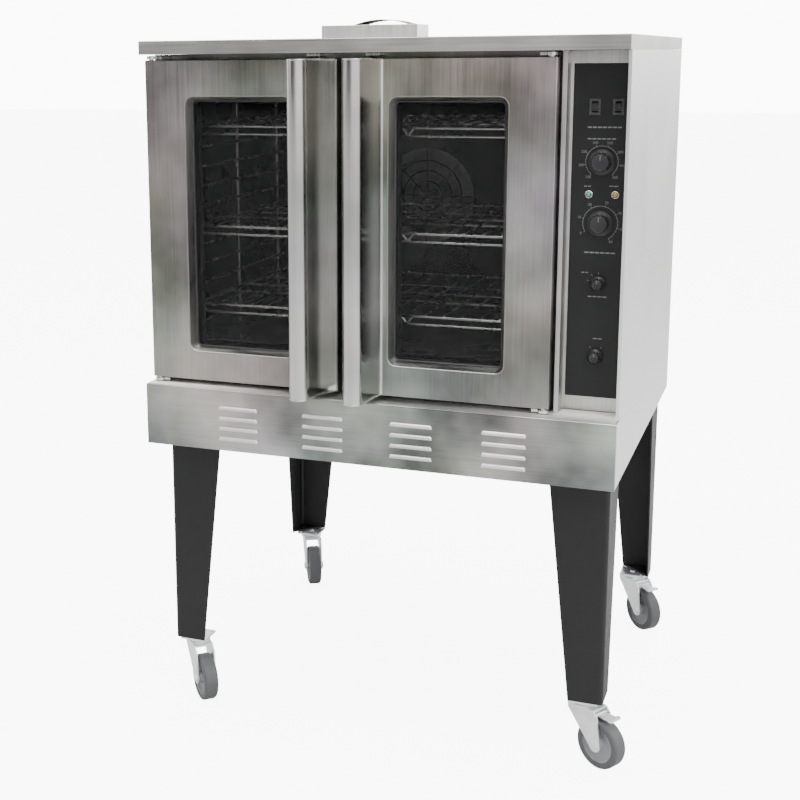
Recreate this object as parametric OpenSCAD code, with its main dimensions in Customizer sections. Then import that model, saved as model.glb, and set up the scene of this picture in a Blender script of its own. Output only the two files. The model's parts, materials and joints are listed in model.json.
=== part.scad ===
// Single-deck gas convection oven on legs and casters, in millimetres.
// +X is the user's right, -Y is the front, +Z is up. The origin is on the floor under the oven.

/* [Cabinet] */
// Width of the cabinet
body_w = 965; // [955:1:980]
// Depth of the cabinet
body_d = 850; // [845:1:870]
// Height of the lid's top above the floor
body_h = 1425; // [1420:1:1440]
// Height of the skirt's lower edge above the floor
skirt_z = 596; // [590:1:600]
// Height of the skirt, the louvred lower front panel
skirt_h = 128; // [124:1:130]
// How far the skirt stands forward of the lid's front edge
skirt_proud = 10; // [6:1:12]
// Height of the lid's turned-down edge
lid_h = 27; // [25:1:32]
// Thickness of the stainless cabinet sheet
sheet = 1.5; // [1:0.1:2]

/* [Oven] */
// Width of the cooking chamber
cavity_w = 737; // [720:1:740]
// Height of the cooking chamber
cavity_h = 508; // [500:1:510]
// Depth of the cooking chamber in front of the fan baffle
cavity_d = 560; // [555:1:565]
// Number of rack positions
rack_levels = 11; // [11:1:11]
// Height from one rack position to the next
rack_pitch = 41.4; // [40:0.1:42]
// Diameter of the heavy rack and guide wire
rack_wire = 6.4; // [5:0.1:7]

/* [Doors] */
// Width of the closed pair of doors
pair_w = 830; // [826:1:832]
// Gap between the two doors
door_gap = 9; // [8:0.5:12]
// Height of a door
door_h = 652; // [646:1:654]
// Thickness of a door
door_t = 50; // [48:1:52]
// Width of a door's window opening
window_w = 212; // [200:1:230]
// Height of a door's window opening
window_h = 501; // [480:1:505]
// Corner radius of the window opening
window_r = 9; // [6:1:25]
// How far a window slopes in from the door's face to the glass
trim_w = 11; // [9:1:14]
// How far the handle bar stands in front of the lid's edge
handle_reach = 87; // [80:1:95]
// Radius of a door's hinge pin
pin_r = 5; // [4:0.5:6]

/* [Controls] */
// Width of the black control fascia
fascia_w = 104; // [96:0.5:105]
// Height of the black control fascia
fascia_h = 622; // [610:1:625]
// Depth of the fascia behind the lid's front edge
fascia_d = 74; // [72:1:78]

/* [Stand] */
// Width of a leg at the top
leg_top_w = 118; // [100:1:120]
// Width of a leg at the bottom
leg_foot_w = 69; // [60:1:72]
// Height of a caster from the floor to the leg
caster_h = 132; // [130:1:136]
// Diameter of a caster wheel
wheel_d = 100; // [98:1:101]
// Trail of a caster wheel behind its swivel axis
trail = 45; // [42:1:46]

/* [Flue and services] */
// Width of the flue box on the lid
flue_w = 245; // [230:1:250]
// Height of the flue box above the lid
flue_h = 40; // [35:1:45]
// Outside radius of the gas inlet pipe
gas_r = 13.335; // [10.67:0.005:13.335]

/* [Hidden] */
$fn = 48;

steel = "#b9b8b2";
bright = "#d6d6d2";
dark = "#2c2c2e";

// Gap between neighbours that are separate pieces of one assembly
gap = 0.3;
// Front edge of the lid; every depth below is counted back from it
front_y = -391;
// The cabinet's middle stands left of the origin, as two wheels trail out past its right side
origin_x = -12;
lid_z = body_h - lid_h;
ledge_z = skirt_z + skirt_h;
// Middle of the pair of doors, which sits left of the cabinet's middle to leave the control bay
mid_x = -62;
door_z = ledge_z + 11;
door_d = 14;
door_back = door_d + door_t;
hinge_x = pair_w / 2 - 12;
hinge_d = door_d + 8;
chamber_mid_z = 1065;
window_z = 1055.5;
window_x = 213;
pane_d = 36;
frame_d = 72;
liner_d = frame_d + 2;
baffle_d = liner_d + cavity_d;
cavity_z = chamber_mid_z - cavity_h / 2;
fan_gap = 82;
liner_back_d = baffle_d + fan_gap;
motor_d = liner_back_d + 48;
// Left edge of the control bay and its fascia
bay_x = mid_x + pair_w / 2 + 6;
fascia_x = body_w / 2 - 6 - fascia_w;
fascia_z = ledge_z + 28;
// Rack wires: the first guide level and the levels that carry the three racks
guide_z = 834.5;
rack_front_d = liner_d + 27;
rack_back_d = baffle_d - 12;
side_inset = 12;
// Controls, as x and z on the fascia
thermostat_at = [427.5, 1196];
timer_at = [428, 1083];
mode_at = [428, 970];
speed_at = [427, 831];
power_at = [412, 1296];
light_at = [454, 1296];
lamp_at = [[405.5, 1136], [453.5, 1136]];
shaft_r = 3;
// Legs: outer corners, and the swivel axes under them
leg_x = 466;
leg_front_d = 62;
leg_back_d = body_d - 16;
stem_x = leg_x - 40;
stem_in = 31;
stem_front_d = leg_front_d + stem_in;
stem_back_d = leg_back_d - stem_in;
kingpin_r = 6;
axle_r = 6;
fit = 0.05;
// Flue: it rises behind the chamber, left of the motor
flue_x = -365;
flue_d = 738;
flue_depth = 98;

// A block between two corners, with depths counted back from the lid's front edge
module block(x0, x1, d0, d1, z0, z1)
    translate([x0, front_y + d0, z0]) cube([x1 - x0, d1 - d0, z1 - z0]);

// An outline drawn in x and z, extruded from depth d0 to depth d1
module slab(d0, d1)
    translate([0, front_y + d1, 0]) rotate([90, 0, 0]) linear_extrude(d1 - d0) children();

// A round bar along the depth, from d0 to d1
module rod_d(x, z, r, d0, d1)
    translate([x, front_y + d1, z]) rotate([90, 0, 0]) cylinder(r = r, h = d1 - d0);

// A round bar along the width, from x0 to x1
module rod_x(x0, x1, d, z, r)
    translate([x0, front_y + d, z]) rotate([0, 90, 0]) cylinder(r = r, h = x1 - x0);

// A round bar upright, from z0 to z1
module rod_z(x, d, r, z0, z1)
    translate([x, front_y + d, z0]) cylinder(r = r, h = z1 - z0);

// A rectangle with round corners, centred
module round_rect(w, h, r) {
    square([w - 2 * r, h], center = true);
    square([w, h - 2 * r], center = true);
    for (x = [-1, 1], z = [-1, 1]) translate([x * (w / 2 - r), z * (h / 2 - r)]) circle(r);
}

// A point on a cubic curve with ends a and d and handles b and c
function curve(a, b, c, d, t) =
    pow(1 - t, 3) * a + 3 * t * pow(1 - t, 2) * b + 3 * t * t * (1 - t) * c + t * t * t * d;

// Mirrors a door piece, drawn for the right door, to the left
module left_side() mirror([1, 0, 0]) children();
module at_pair() translate([mid_x, 0, 0]) children();

// Sets a finished piece, drawn about the cabinet's middle, in the oven's own frame
module stood() translate([origin_x, 0, 0]) children();

// ---------------------------------------------------------------- cabinet

module lid() color(steel) difference() {
    block(-body_w / 2, body_w / 2, 0, body_d, lid_z, body_h);
    block(-body_w / 2 + sheet, body_w / 2 - sheet, sheet, body_d - sheet, lid_z - 1, body_h - sheet);
    block(flue_x + 16, flue_x + flue_w - 16, flue_d + 16, flue_d + flue_depth - 16, lid_z, body_h + 1);
}

// One side: a flat sheet with a narrow front return, a rear return and a foot flange
module side_panel(front_return, front) {
    top = lid_z - gap;
    block(body_w / 2 - sheet, body_w / 2, 0, body_d, skirt_z, ledge_z);
    block(body_w / 2 - sheet, body_w / 2, front, body_d, ledge_z, top);
    block(body_w / 2 - front_return, body_w / 2 - sheet, front, front + sheet, ledge_z + gap, top);
    block(body_w / 2 - 22, body_w / 2 - sheet, body_d - sheet, body_d, skirt_z, top);
    block(body_w / 2 - 22, body_w / 2 - sheet, 0, body_d - sheet, skirt_z, skirt_z + sheet);
}

module side_panels() color("#dcdcd8") {
    side_panel(6, 20);
    mirror([1, 0, 0]) side_panel(4, frame_d - 2);
}

module back_panel() color(steel) difference() {
    union() {
        block(-body_w / 2 + 23, body_w / 2 - 23, body_d - sheet, body_d, skirt_z, lid_z - gap);
        block(-body_w / 2 + 23, body_w / 2 - 23, body_d - 20, body_d - sheet,
              skirt_z + sheet + 3, skirt_z + 2 * sheet + 3);
    }
    for (x = [-90 : 20 : 90])
        slab(body_d - 3, body_d + 1) translate([mid_x + x, chamber_mid_z]) round_rect(8, 150, 3.9);
    for (x = [-90 : 20 : 90])
        slab(body_d - 3, body_d + 1) translate([330 + x, 720]) round_rect(8, 70, 3.9);
    rod_d(gas_at[0], gas_at[1], gas_r + 4, body_d - 5, body_d + 1);
    rod_d(inlet_at[0], inlet_at[1], 12, body_d - 5, body_d + 1);
}

module base_pan() color(steel) difference() {
    union() {
        block(-body_w / 2 + 2, body_w / 2 - 2, 2, body_d - 24, skirt_z + 2, skirt_z + 4);
        block(-body_w / 2 + 2, body_w / 2 - 2, body_d - 26, body_d - 24, skirt_z + 4, skirt_z + 24);
    }
    for (x = [-300 : 150 : 300], d = [200, 420])
        block(x - 50, x + 50, d, d + 8, skirt_z, skirt_z + 6);
    for (x = [-1, 1], d = [leg_front_d + 30, leg_front_d + 80, leg_back_d - 30, leg_back_d - 80])
        rod_z(x * (leg_x - 30), d, 4.5, skirt_z, skirt_z + 8);
}

louvre_w = 88;
louvre_rise = 21.5;
louvre_r = 5.2;
louvre_pitch = 183;

// One pressed louvre: a quarter-round hood that opens downwards
module louvre(x, z) {
    translate([x - louvre_w / 2, front_y - skirt_proud + 0.2, z]) rotate([90, 0, 90]) {
        linear_extrude(louvre_w) intersection() {
            difference() { circle(louvre_r); circle(louvre_r - 1.2); }
            translate([-louvre_r, 0]) square(louvre_r);
        }
        for (end = [0, louvre_w - 1.2]) translate([0, 0, end]) linear_extrude(1.2) intersection() {
            circle(louvre_r);
            translate([-louvre_r, 0]) square(louvre_r);
        }
    }
}

module skirt() color(steel) {
    front = -skirt_proud;
    inner = body_w / 2 - sheet - gap;
    rows = [for (row = [0 : 3], col = [0 : 3])
        [(col - 1.5) * louvre_pitch, ledge_z - 41 - row * louvre_rise]];
    difference() {
        union() {
            block(-body_w / 2, body_w / 2, front, front + sheet, skirt_z, ledge_z);
            block(-inner, inner, front + sheet, frame_d - 2, ledge_z - sheet, ledge_z);
            for (x = [-body_w / 2, body_w / 2 - sheet])
                block(x, x + sheet, front + sheet, -gap, skirt_z, ledge_z);
        }
        for (p = rows)
            block(p[0] - louvre_w / 2 + 1.2, p[0] + louvre_w / 2 - 1.2, front - 1, front + sheet + 1,
                  p[1], p[1] + louvre_r - 1.2);
    }
    for (p = rows) louvre(p[0], p[1]);
}

module face_frame() color(bright) difference() {
    block(mid_x - pair_w / 2, bay_x - 8, frame_d, frame_d + 2, ledge_z + 1, lid_z - gap);
    block(mid_x - cavity_w / 2, mid_x + cavity_w / 2, frame_d - 1, frame_d + 3,
          cavity_z, cavity_z + cavity_h);
    for (x = [-1, 1], z = [door_z + 10, door_z + door_h - 10])
        rod_d(mid_x + x * 30, z, 3.2, frame_d - 1, frame_d + 3);
}

// ---------------------------------------------------------------- control bay

module control_fascia() color(dark) difference() {
    block(fascia_x, fascia_x + fascia_w, fascia_d, fascia_d + 2, fascia_z, fascia_z + fascia_h);
    for (p = [thermostat_at, timer_at, mode_at, speed_at])
        rod_d(p[0], p[1], 5, fascia_d - 1, fascia_d + 3);
    for (p = lamp_at) rod_d(p[0], p[1], 5.3, fascia_d - 1, fascia_d + 3);
    for (p = [power_at, light_at])
        slab(fascia_d - 1, fascia_d + 3) translate(p) square([rocker_w + 1, 22], center = true);
}

// The stainless surround: a bright upright strip, a strip below the fascia and one above it
bay_wall = 8.7;

module control_surround() color(steel) {
    right = body_w / 2 - 6.2;
    block(bay_x, bay_x + bay_wall, fascia_d - 42, fascia_d + 2, ledge_z + gap, lid_z - gap);
    block(bay_x + bay_wall, fascia_x - gap, fascia_d, fascia_d + 2, ledge_z + gap, lid_z - gap);
    block(fascia_x - gap, right, fascia_d, fascia_d + 2, ledge_z + gap, fascia_z - gap);
    block(fascia_x - gap, right, fascia_d, fascia_d + 2, fascia_z + fascia_h + gap, lid_z - gap);
}

module compartment_wall() color(bright) {
    difference() {
        block(bay_x - 6, bay_x - 6 + sheet, frame_d, body_d - 27, skirt_z + 5, lid_z - 2);
        rod_x(bay_x - 8, bay_x - 2, manifold_d, manifold_z, manifold_r + 2);
    }
}

rocker_w = 13;
rocker_r = 10;
rocker_d = fascia_d + 6;
rocker_tip = 12;
body_depth = 34;

// A rotary control's body, with a bore for the knob's shaft
module rotary_body(p, w) difference() {
    union() {
        slab(fascia_d + 2 + gap, fascia_d + 2 + gap + body_depth) translate(p) square(w, center = true);
        rod_d(p[0], p[1], 4.6, fascia_d - 2, fascia_d + 3);
    }
    rod_d(p[0], p[1], shaft_r + fit, fascia_d - 3, fascia_d + 24);
}

module control_bodies() color("#4a4d50") {
    rotary_body(thermostat_at, 44);
    rotary_body(timer_at, 50);
    rotary_body(mode_at, 30);
    rotary_body(speed_at, 34);
    for (p = [power_at, light_at]) difference() {
        union() {
            slab(fascia_d - 1.6, fascia_d - gap) translate(p) square([rocker_w + 7, 29], center = true);
            slab(fascia_d - gap, fascia_d + 30) translate(p) square([rocker_w + 0.8, 21.8], center = true);
        }
        slab(fascia_d - 2, fascia_d + 20) translate(p) square([rocker_w - 1, 20.6], center = true);
    }
    for (p = lamp_at) rod_d(p[0], p[1], 8, fascia_d + 2 + gap, fascia_d + 24);
}

module indicator_lamps() color("#f0a030") for (p = lamp_at) {
    rod_d(p[0], p[1], 5, fascia_d - 1, fascia_d + 2);
    translate([p[0], front_y + fascia_d - 1, p[1]]) intersection() {
        sphere(r = 5);
        translate([-6, -6, -6]) cube([12, 6, 12]);
    }
}

// A control knob: a skirt, a fluted grip and a shaft that turns in the control's body
module knob(p, skirt_r, grip_r, reach) {
    difference() {
        union() {
            rod_d(p[0], p[1], skirt_r, fascia_d - 6, fascia_d - 2.4);
            rod_d(p[0], p[1], grip_r, fascia_d - reach, fascia_d - 5);
        }
        for (a = [0 : 30 : 330])
            rod_d(p[0] + (grip_r + 1.2) * cos(a), p[1] + (grip_r + 1.2) * sin(a), 2.4,
                  fascia_d - reach - 1, fascia_d - 7);
    }
    rod_d(p[0], p[1], shaft_r, fascia_d - 4, fascia_d + 22);
}

module thermostat_knob() color(dark) knob(thermostat_at, 24, 17, 24);
module timer_knob() color(dark) knob(timer_at, 24, 17, 24);
module mode_knob() color(dark) knob(mode_at, 15, 11, 20);
module fan_speed_knob() color(dark) knob(speed_at, 15, 11, 20);

// A rocker, tipped to its off side: a short drum with two flats that slope away from its middle
module rocker(p) translate([p[0], front_y + rocker_d, p[1]]) rotate([rocker_tip, 0, 0]) rotate([0, 90, 0])
    difference() {
        cylinder(r = rocker_r, h = rocker_w - 1.6, center = true);
        for (side = [-1, 1]) rotate(side * 17) translate([0, -rocker_r - 7.6, 0])
            translate([side > 0 ? -30 : 0, 0, -20]) cube([30, 10, 40]);
    }

module power_rocker() color("#1c1c1e") rocker(power_at);
module light_rocker() color("#1c1c1e") rocker(light_at);

// ---------------------------------------------------------------- cooking chamber

module oven_liner() color("#3a3a3c") {
    x0 = mid_x - cavity_w / 2;
    x1 = mid_x + cavity_w / 2;
    z0 = cavity_z;
    z1 = cavity_z + cavity_h;
    front = liner_d + gap;
    back = liner_back_d;
    for (x = [x0 - sheet, x1]) block(x, x + sheet, front, back, z0 - sheet, z1 + sheet);
    for (z = [z0 - sheet, z1]) block(x0 + 0.2, x1 - 0.2, front, back, z, z + sheet);
    difference() {
        block(x0 - sheet, x1 + sheet, back + 0.2, back + 0.2 + sheet, z0 - sheet, z1 + sheet);
        rod_d(mid_x, chamber_mid_z, 14, back - 1, back + 4);
    }
}

module insulation() color("#d8cfa8") {
    x0 = mid_x - cavity_w / 2 - sheet - 0.5;
    x1 = mid_x + cavity_w / 2 + sheet + 0.5;
    z0 = cavity_z - sheet - 0.5;
    z1 = cavity_z + cavity_h + sheet + 0.5;
    front = liner_d + 1;
    back = liner_back_d;
    block(x0 - 46, x0, front, back, z0 - 40, z1);
    block(x1, bay_x - 6 - gap, front, back, z0 - 40, z1);
    block(x0 - 46, bay_x - 6 - gap, front, back, z1 + 0.2, lid_z - 3);
    block(x0 + 0.2, x1 - 0.2, front, back, z0 - 34, z0);
    difference() {
        block(x0 - 40, bay_x - 8, back + 3, motor_d - 4, z0 - 40, lid_z - 3);
        rod_d(mid_x, chamber_mid_z, 30, back, motor_d + 1);
        block(flue_x, flue_x + flue_w, back + 24, motor_d + 1, z0 - 50, lid_z);
    }
}

// A side frame of three posts, with one runner for each rack position
module guide_side(x) {
    r = rack_wire / 2;
    wall = x < mid_x ? -side_inset + 3.5 : side_inset - 3.5;
    for (d = [liner_d + 45, liner_d + cavity_d / 2, baffle_d - 45])
        rod_z(x + wall, d, r, cavity_z + 6, cavity_z + cavity_h - 6);
    for (i = [0 : rack_levels - 1])
        translate([0, 0, guide_z + i * rack_pitch]) {
            rod_d(x, 0, r - 0.4, liner_d + 30, baffle_d - 30);
            for (d = [liner_d + 45, liner_d + cavity_d / 2, baffle_d - 45])
                rod_x(min(x, x + wall), max(x, x + wall), d, 0, r - 0.6);
        }
}

module rack_guides() color(bright) {
    guide_side(mid_x - cavity_w / 2 + side_inset);
    guide_side(mid_x + cavity_w / 2 - side_inset);
}

rack_drop = 18;
rack_bars = 19;

// A wire rack resting on one guide level: two side rods, cross bars welded under them, floor
// wires on top, and a deep front edge of two bars tied together by V-shaped struts
module rack(level) color(bright) {
    r = rack_wire / 2;
    bar = r - 0.5;
    floor_r = 1.9;
    z = guide_z + level * rack_pitch + 2 * r - 0.4 + gap;
    half = cavity_w / 2 - side_inset - 2;
    inner = half - 16;
    stop_x = 112;
    bar_z = -0.6;
    translate([mid_x, 0, z]) {
        for (x = [-half, half]) rod_d(x, 0, r, rack_front_d - 4, rack_back_d + 4);
        for (d = [rack_front_d, rack_front_d + 165, rack_back_d - 165, rack_back_d])
            rod_x(-half, half, d, bar_z, bar);
        for (i = [0 : rack_bars - 1])
            rod_d((i - (rack_bars - 1) / 2) * 2 * inner / (rack_bars - 1), bar_z + bar + 1, floor_r,
                  rack_front_d - 2, rack_back_d + 2);
        rod_x(-inner, inner, rack_front_d, -rack_drop, bar);
        for (x = [-inner + 3, inner - 3]) rod_z(x, rack_front_d, bar - 0.4, -rack_drop, bar_z);
        for (x = [-stop_x, stop_x], lean = [-1, 1])
            translate([x + lean * 3, front_y + rack_front_d, -rack_drop]) rotate([0, lean * 28, 0])
                cylinder(r = 2, h = rack_drop / cos(28) - 1);
    }
}

module rack_upper() rack(10);
module rack_middle() rack(5);
module rack_lower() rack(1);

inlet_hole_r = 112;

module fan_baffle() color("#6b6b6b") {
    difference() {
        slab(baffle_d, baffle_d + sheet) translate([mid_x, chamber_mid_z])
            square([cavity_w - 10, cavity_h - 10], center = true);
        rod_d(mid_x, chamber_mid_z, inlet_hole_r, baffle_d - 1, baffle_d + 3);
        for (x = [-1, 1], z = [-4 : 4])
            slab(baffle_d - 1, baffle_d + 3) translate([mid_x + x * 300, chamber_mid_z + z * 46])
                round_rect(70, 18, 8.9);
    }
    // The wire guard over the fan's inlet: spokes from a small disc, with rings behind them
    guard_d = baffle_d - 1.2;
    rod_d(mid_x, chamber_mid_z, 14, guard_d - 2.4, guard_d + 2.4);
    for (a = [0 : 45 : 315]) translate([mid_x, front_y + guard_d, chamber_mid_z])
        rotate([0, a, 0]) translate([0, 0, 9]) cylinder(r = 1.8, h = inlet_hole_r);
    for (ring = [35 : 24 : 83]) translate([mid_x, front_y + guard_d + 2.6, chamber_mid_z])
        rotate([90, 0, 0]) rotate_extrude() translate([ring, 0]) circle(1.7, $fn = 24);
}

blower_r = 118;
blower_len = 58;
blower_d = baffle_d + 12;
blades = 24;

// The blower wheel on its shaft: a back disc, a ring of blades, a front ring and a hub
module blower_wheel() color("#a8a8a8") {
    back = blower_d + blower_len;
    rod_d(mid_x, chamber_mid_z, blower_r, back - 2, back);
    rod_d(mid_x, chamber_mid_z, 20, back - 34, back);
    difference() {
        rod_d(mid_x, chamber_mid_z, blower_r, blower_d, blower_d + 2);
        rod_d(mid_x, chamber_mid_z, blower_r - 24, blower_d - 1, blower_d + 3);
    }
    for (i = [0 : blades - 1])
        translate([mid_x, front_y, chamber_mid_z]) rotate([0, i * 360 / blades, 0])
            translate([blower_r - 12, 0, 0]) rotate([0, 35, 0])
                translate([-11, blower_d + 1, -1]) cube([22, blower_len - 2, 2]);
    rod_d(mid_x, chamber_mid_z, 6.35, back - 20, motor_d + 20);
}

module fan_motor() color("#3c5a78") {
    difference() {
        union() {
            slab(motor_d, motor_d + 3) translate([mid_x, chamber_mid_z]) round_rect(180, 180, 12);
            rod_d(mid_x, chamber_mid_z, 60, motor_d + 3, motor_d + 70);
            rod_d(mid_x, chamber_mid_z, 46, motor_d + 70, motor_d + 78);
        }
        rod_d(mid_x, chamber_mid_z, 6.35 + fit, motor_d - 1, motor_d + 24);
        for (x = [-78, 78], z = [-78, 78])
            rod_d(mid_x + x, chamber_mid_z + z, 4, motor_d - 1, motor_d + 4);
    }
}

module burners() color("#7d7a74") for (x = [-230, 0, 230]) {
    difference() {
        rod_d(mid_x + x, 700, 18, 150, 620);
        rod_d(mid_x + x, 700, 16.4, 149, 616);
        for (d = [180 : 24 : 590]) rod_z(mid_x + x, d, 3, 700, 722);
    }
    // The flared mouth that draws in air at each gas nozzle
    translate([mid_x + x, front_y + 150.5, 700]) rotate([90, 0, 0]) difference() {
        cylinder(r1 = 18, r2 = 27, h = 26);
        translate([0, 0, -1]) cylinder(r1 = 16.1, r2 = 25.4, h = 28);
    }
}

gas_at = [405, 650];
inlet_at = [300, 640];
manifold_d = 104;
manifold_z = 690;
manifold_r = 10;

// The rear inlet pipe, the gas valve in the control bay, and the manifold with its nozzles
module gas_train() color("#8c8270") {
    difference() {
        union() {
            rod_d(gas_at[0], gas_at[1], gas_r - 1, 168, body_d + 1);
            rod_d(gas_at[0], gas_at[1], gas_r, body_d, body_d + 20);
        }
        rod_d(gas_at[0], gas_at[1], gas_r - 2.9, 170, body_d + 21);
    }
    difference() {
        slab(96, 167.7) translate(gas_at) square([64, 76], center = true);
        rod_d(gas_at[0], gas_at[1] + 8, 12, 92, 104);
    }
    rod_x(mid_x - 245, gas_at[0] - 32.3, manifold_d, manifold_z, manifold_r);
    for (x = [-230, 0, 230]) rod_d(mid_x + x, 694, 4, manifold_d + 8, manifold_d + 36);
}

// ---------------------------------------------------------------- flue

module flue_duct() color("#8f8f8b") difference() {
    block(flue_x + 18, flue_x + flue_w - 40, flue_d + 16, flue_d + flue_depth - 8, 660, lid_z - gap);
    block(flue_x + 20, flue_x + flue_w - 42, flue_d + 18, flue_d + flue_depth - 10, 659, lid_z + 1);
}

module flue_box() color(steel) difference() {
    right = flue_x + flue_w;
    back = flue_d + flue_depth;
    top = body_h + flue_h;
    union() {
        block(flue_x, right, flue_d, back, body_h, top);
        block(flue_x - 8, right + 8, flue_d - 8, back + 8, body_h, body_h + 2);
    }
    block(flue_x + 2, right - 2, flue_d + 2, back - 2, body_h - 1, top - 2);
    block(flue_x + 92, right - 32, flue_d + 12, back - 12, body_h, top + 1);
}

hood_w = 140;
hood_rise = 12;

// A low arched hood that opens to the front and the back of the flue
module flue_hood() color("#77736e") {
    bow = (hood_w * hood_w / 4 + hood_rise * hood_rise) / (2 * hood_rise);
    slab(flue_d + 6, flue_d + flue_depth - 6)
        translate([flue_x + 82 + hood_w / 2, body_h + flue_h + gap]) intersection() {
            translate([0, hood_rise - bow]) difference() {
                circle(bow, $fn = 160);
                circle(bow - sheet, $fn = 160);
            }
            translate([-hood_w / 2, 0]) square([hood_w, hood_rise + 1]);
        }
}

// ---------------------------------------------------------------- door hardware on the cabinet

bracket_t = 6;

// Four plates that hold the doors' pins, above and below each outer corner
module hinge_brackets() color(bright) at_pair() for (side = [-1, 1], top = [0, 1]) {
    z = top == 1 ? door_z + door_h + 2.2 : door_z - 2.2 - bracket_t;
    inner = side * (hinge_x - 22);
    outer = side * (hinge_x + 10);
    difference() {
        union() {
            block(min(inner, outer), max(inner, outer), hinge_d, frame_d - gap, z, z + bracket_t);
            rod_z(side * hinge_x, hinge_d, 10, z, z + bracket_t);
        }
        rod_z(side * hinge_x, hinge_d, pin_r + fit, z - 1, z + bracket_t + 1);
    }
}

// Two sprung roller catches under the lid, one for each door
module door_catches() color(bright) at_pair() for (x = [-1, 1]) {
    block(x * 60 - 14, x * 60 + 14, door_d + 22, frame_d - gap, door_z + door_h + 5, lid_z - 1);
    rod_x(x * 60 - 9, x * 60 + 9, door_d + 30, door_z + door_h + 4.6, 4);
}

module door_gasket() color("#202020") slab(door_back + gap, frame_d - gap)
    translate([mid_x, chamber_mid_z]) difference() {
        round_rect(cavity_w + 30, cavity_h + 30, 18);
        round_rect(cavity_w + 4, cavity_h + 4, 6);
    }

// ---------------------------------------------------------------- doors, drawn for the right door

door_x0 = door_gap / 2;
door_x1 = pair_w / 2;
edge_r = 3;
skin = 1.2;
split_d = door_d + 38;

// The door's outline seen from the front, shrunk by m on every side
module door_face(m) translate([door_x0 + m, door_z + m])
    square([door_x1 - door_x0 - 2 * m, door_h - 2 * m]);

module window_outline(grow) translate([window_x, window_z])
    round_rect(window_w + 2 * grow, window_h + 2 * grow, window_r + grow);

// The outer pan: a face with folded edges, a window hole, and holes for the hinge pins
module door_shell() color(steel) difference() {
    slab(door_d, split_d) door_face(0);
    slab(door_d + skin, split_d + 1) door_face(skin);
    slab(door_d - 1, split_d + 1) window_outline(trim_w);
    for (z = [door_z, door_z + door_h]) rod_z(hinge_x, hinge_d, pin_r + 2.5, z - 5, z + 5);
}

// The inner pan, which faces the chamber
module door_liner() color("#9a9a98") difference() {
    slab(split_d + gap, door_back) door_face(2);
    slab(split_d, door_back - skin) door_face(2 + skin);
    slab(split_d - 1, door_back + 1) window_outline(-6);
}

// Two panes with an air gap
module glass() color("#20262a", 0.6) {
    slab(pane_d, pane_d + 4) window_outline(7);
    slab(door_back - skin - 5.5, door_back - skin - 1) window_outline(7);
}

// The bright frame in the window: a return from the face's edge back to a flange over the glass
module window_trim() color("#c9c9c4") {
    outer = trim_w - gap;
    slab(door_d - 0.8, pane_d - 0.2) difference() { window_outline(outer); window_outline(outer - 1.5); }
    slab(pane_d - 2, pane_d - 0.2) difference() { window_outline(outer - 1); window_outline(0); }
}

// The section of a handle: a round nose, and two flanks that flare out onto the door's face
nose = 19.5;
bar_x = 55;
foot_in = 8;
foot_out = 88;
nose_d = nose - handle_reach;
function handle_outline(wall, spread = 0) = concat(
    [for (i = [0 : 16]) curve([foot_in + 2 * wall, door_d], [30 + wall - spread, 2 - spread],
                              [bar_x - nose + wall, -24 - spread], [bar_x - nose + wall, nose_d], i / 16)],
    [for (a = [190 : 10 : 350]) [bar_x + (nose - wall) * cos(a), nose_d + (nose - wall) * sin(a)]],
    [for (i = [0 : 16]) curve([bar_x + nose - wall, nose_d], [bar_x + nose + 2 - wall, -30 - spread],
                              [bar_x + nose + 2 - wall + spread, 6 - spread],
                              [foot_out - 2 * wall, door_d], i / 16)]
);

// The handle: a full-height formed channel, with an end plate that spreads past its flanks
module handle() color(bright) translate([0, front_y - 0.1, 0]) {
    translate([0, 0, door_z + 3]) linear_extrude(door_h - 6) difference() {
        polygon(handle_outline(0));
        polygon(handle_outline(2));
    }
    for (z = [door_z, door_z + door_h - 3]) translate([0, 0, z]) linear_extrude(3)
        polygon(handle_outline(0, 6));
}

// A pin at the top and bottom of the door, each in a block fixed inside the door
module hinge_pins() color(bright) for (top = [0, 1]) {
    z = top == 1 ? door_z + door_h : door_z;
    in = top == 1 ? -1 : 1;
    rod_z(hinge_x, hinge_d, pin_r, min(z - in * 9, z + in * 20), max(z - in * 9, z + in * 20));
    block(hinge_x - 14, hinge_x + 9, door_d + skin + 0.4, door_d + 30,
          min(z + in * 3, z + in * 34), max(z + in * 3, z + in * 34));
}

module left_door_shell() at_pair() left_side() door_shell();
module left_door_liner() at_pair() left_side() door_liner();
module left_glass() at_pair() left_side() glass();
module left_window_trim() at_pair() left_side() window_trim();
module left_handle() at_pair() left_side() handle();
module left_hinge_pins() at_pair() left_side() hinge_pins();
module right_door_shell() at_pair() door_shell();
module right_door_liner() at_pair() door_liner();
module right_glass() at_pair() glass();
module right_window_trim() at_pair() window_trim();
module right_handle() at_pair() handle();
module right_hinge_pins() at_pair() hinge_pins();

// ---------------------------------------------------------------- stand

leg_sheet = 3;

// One tapering face of a leg: full width at the top, narrow at the foot
module leg_face() linear_extrude(leg_sheet)
    polygon([[0, caster_h], [-leg_foot_w, caster_h], [-leg_top_w, skirt_z - gap], [0, skirt_z - gap]]);

// A leg with its outer corner at the origin and its faces running to -X and +Y
module leg() {
    translate([0, leg_sheet, 0]) rotate([90, 0, 0]) leg_face();
    rotate([90, 0, -90]) leg_face();
    translate([0, 0, caster_h]) difference() {
        linear_extrude(4) polygon([[0, 0], [-leg_foot_w, 0], [0, leg_foot_w]]);
        translate([stem_x - leg_x, stem_in, -1]) cylinder(r = 9, h = 6);
    }
    translate([-leg_top_w + 4, 0, skirt_z - gap - 4]) difference() {
        cube([leg_top_w - 4, leg_top_w - 4, 4]);
        translate([-1, leg_top_w / 2, -1]) cube([leg_top_w / 2, leg_top_w, 6]);
    }
}

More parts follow.
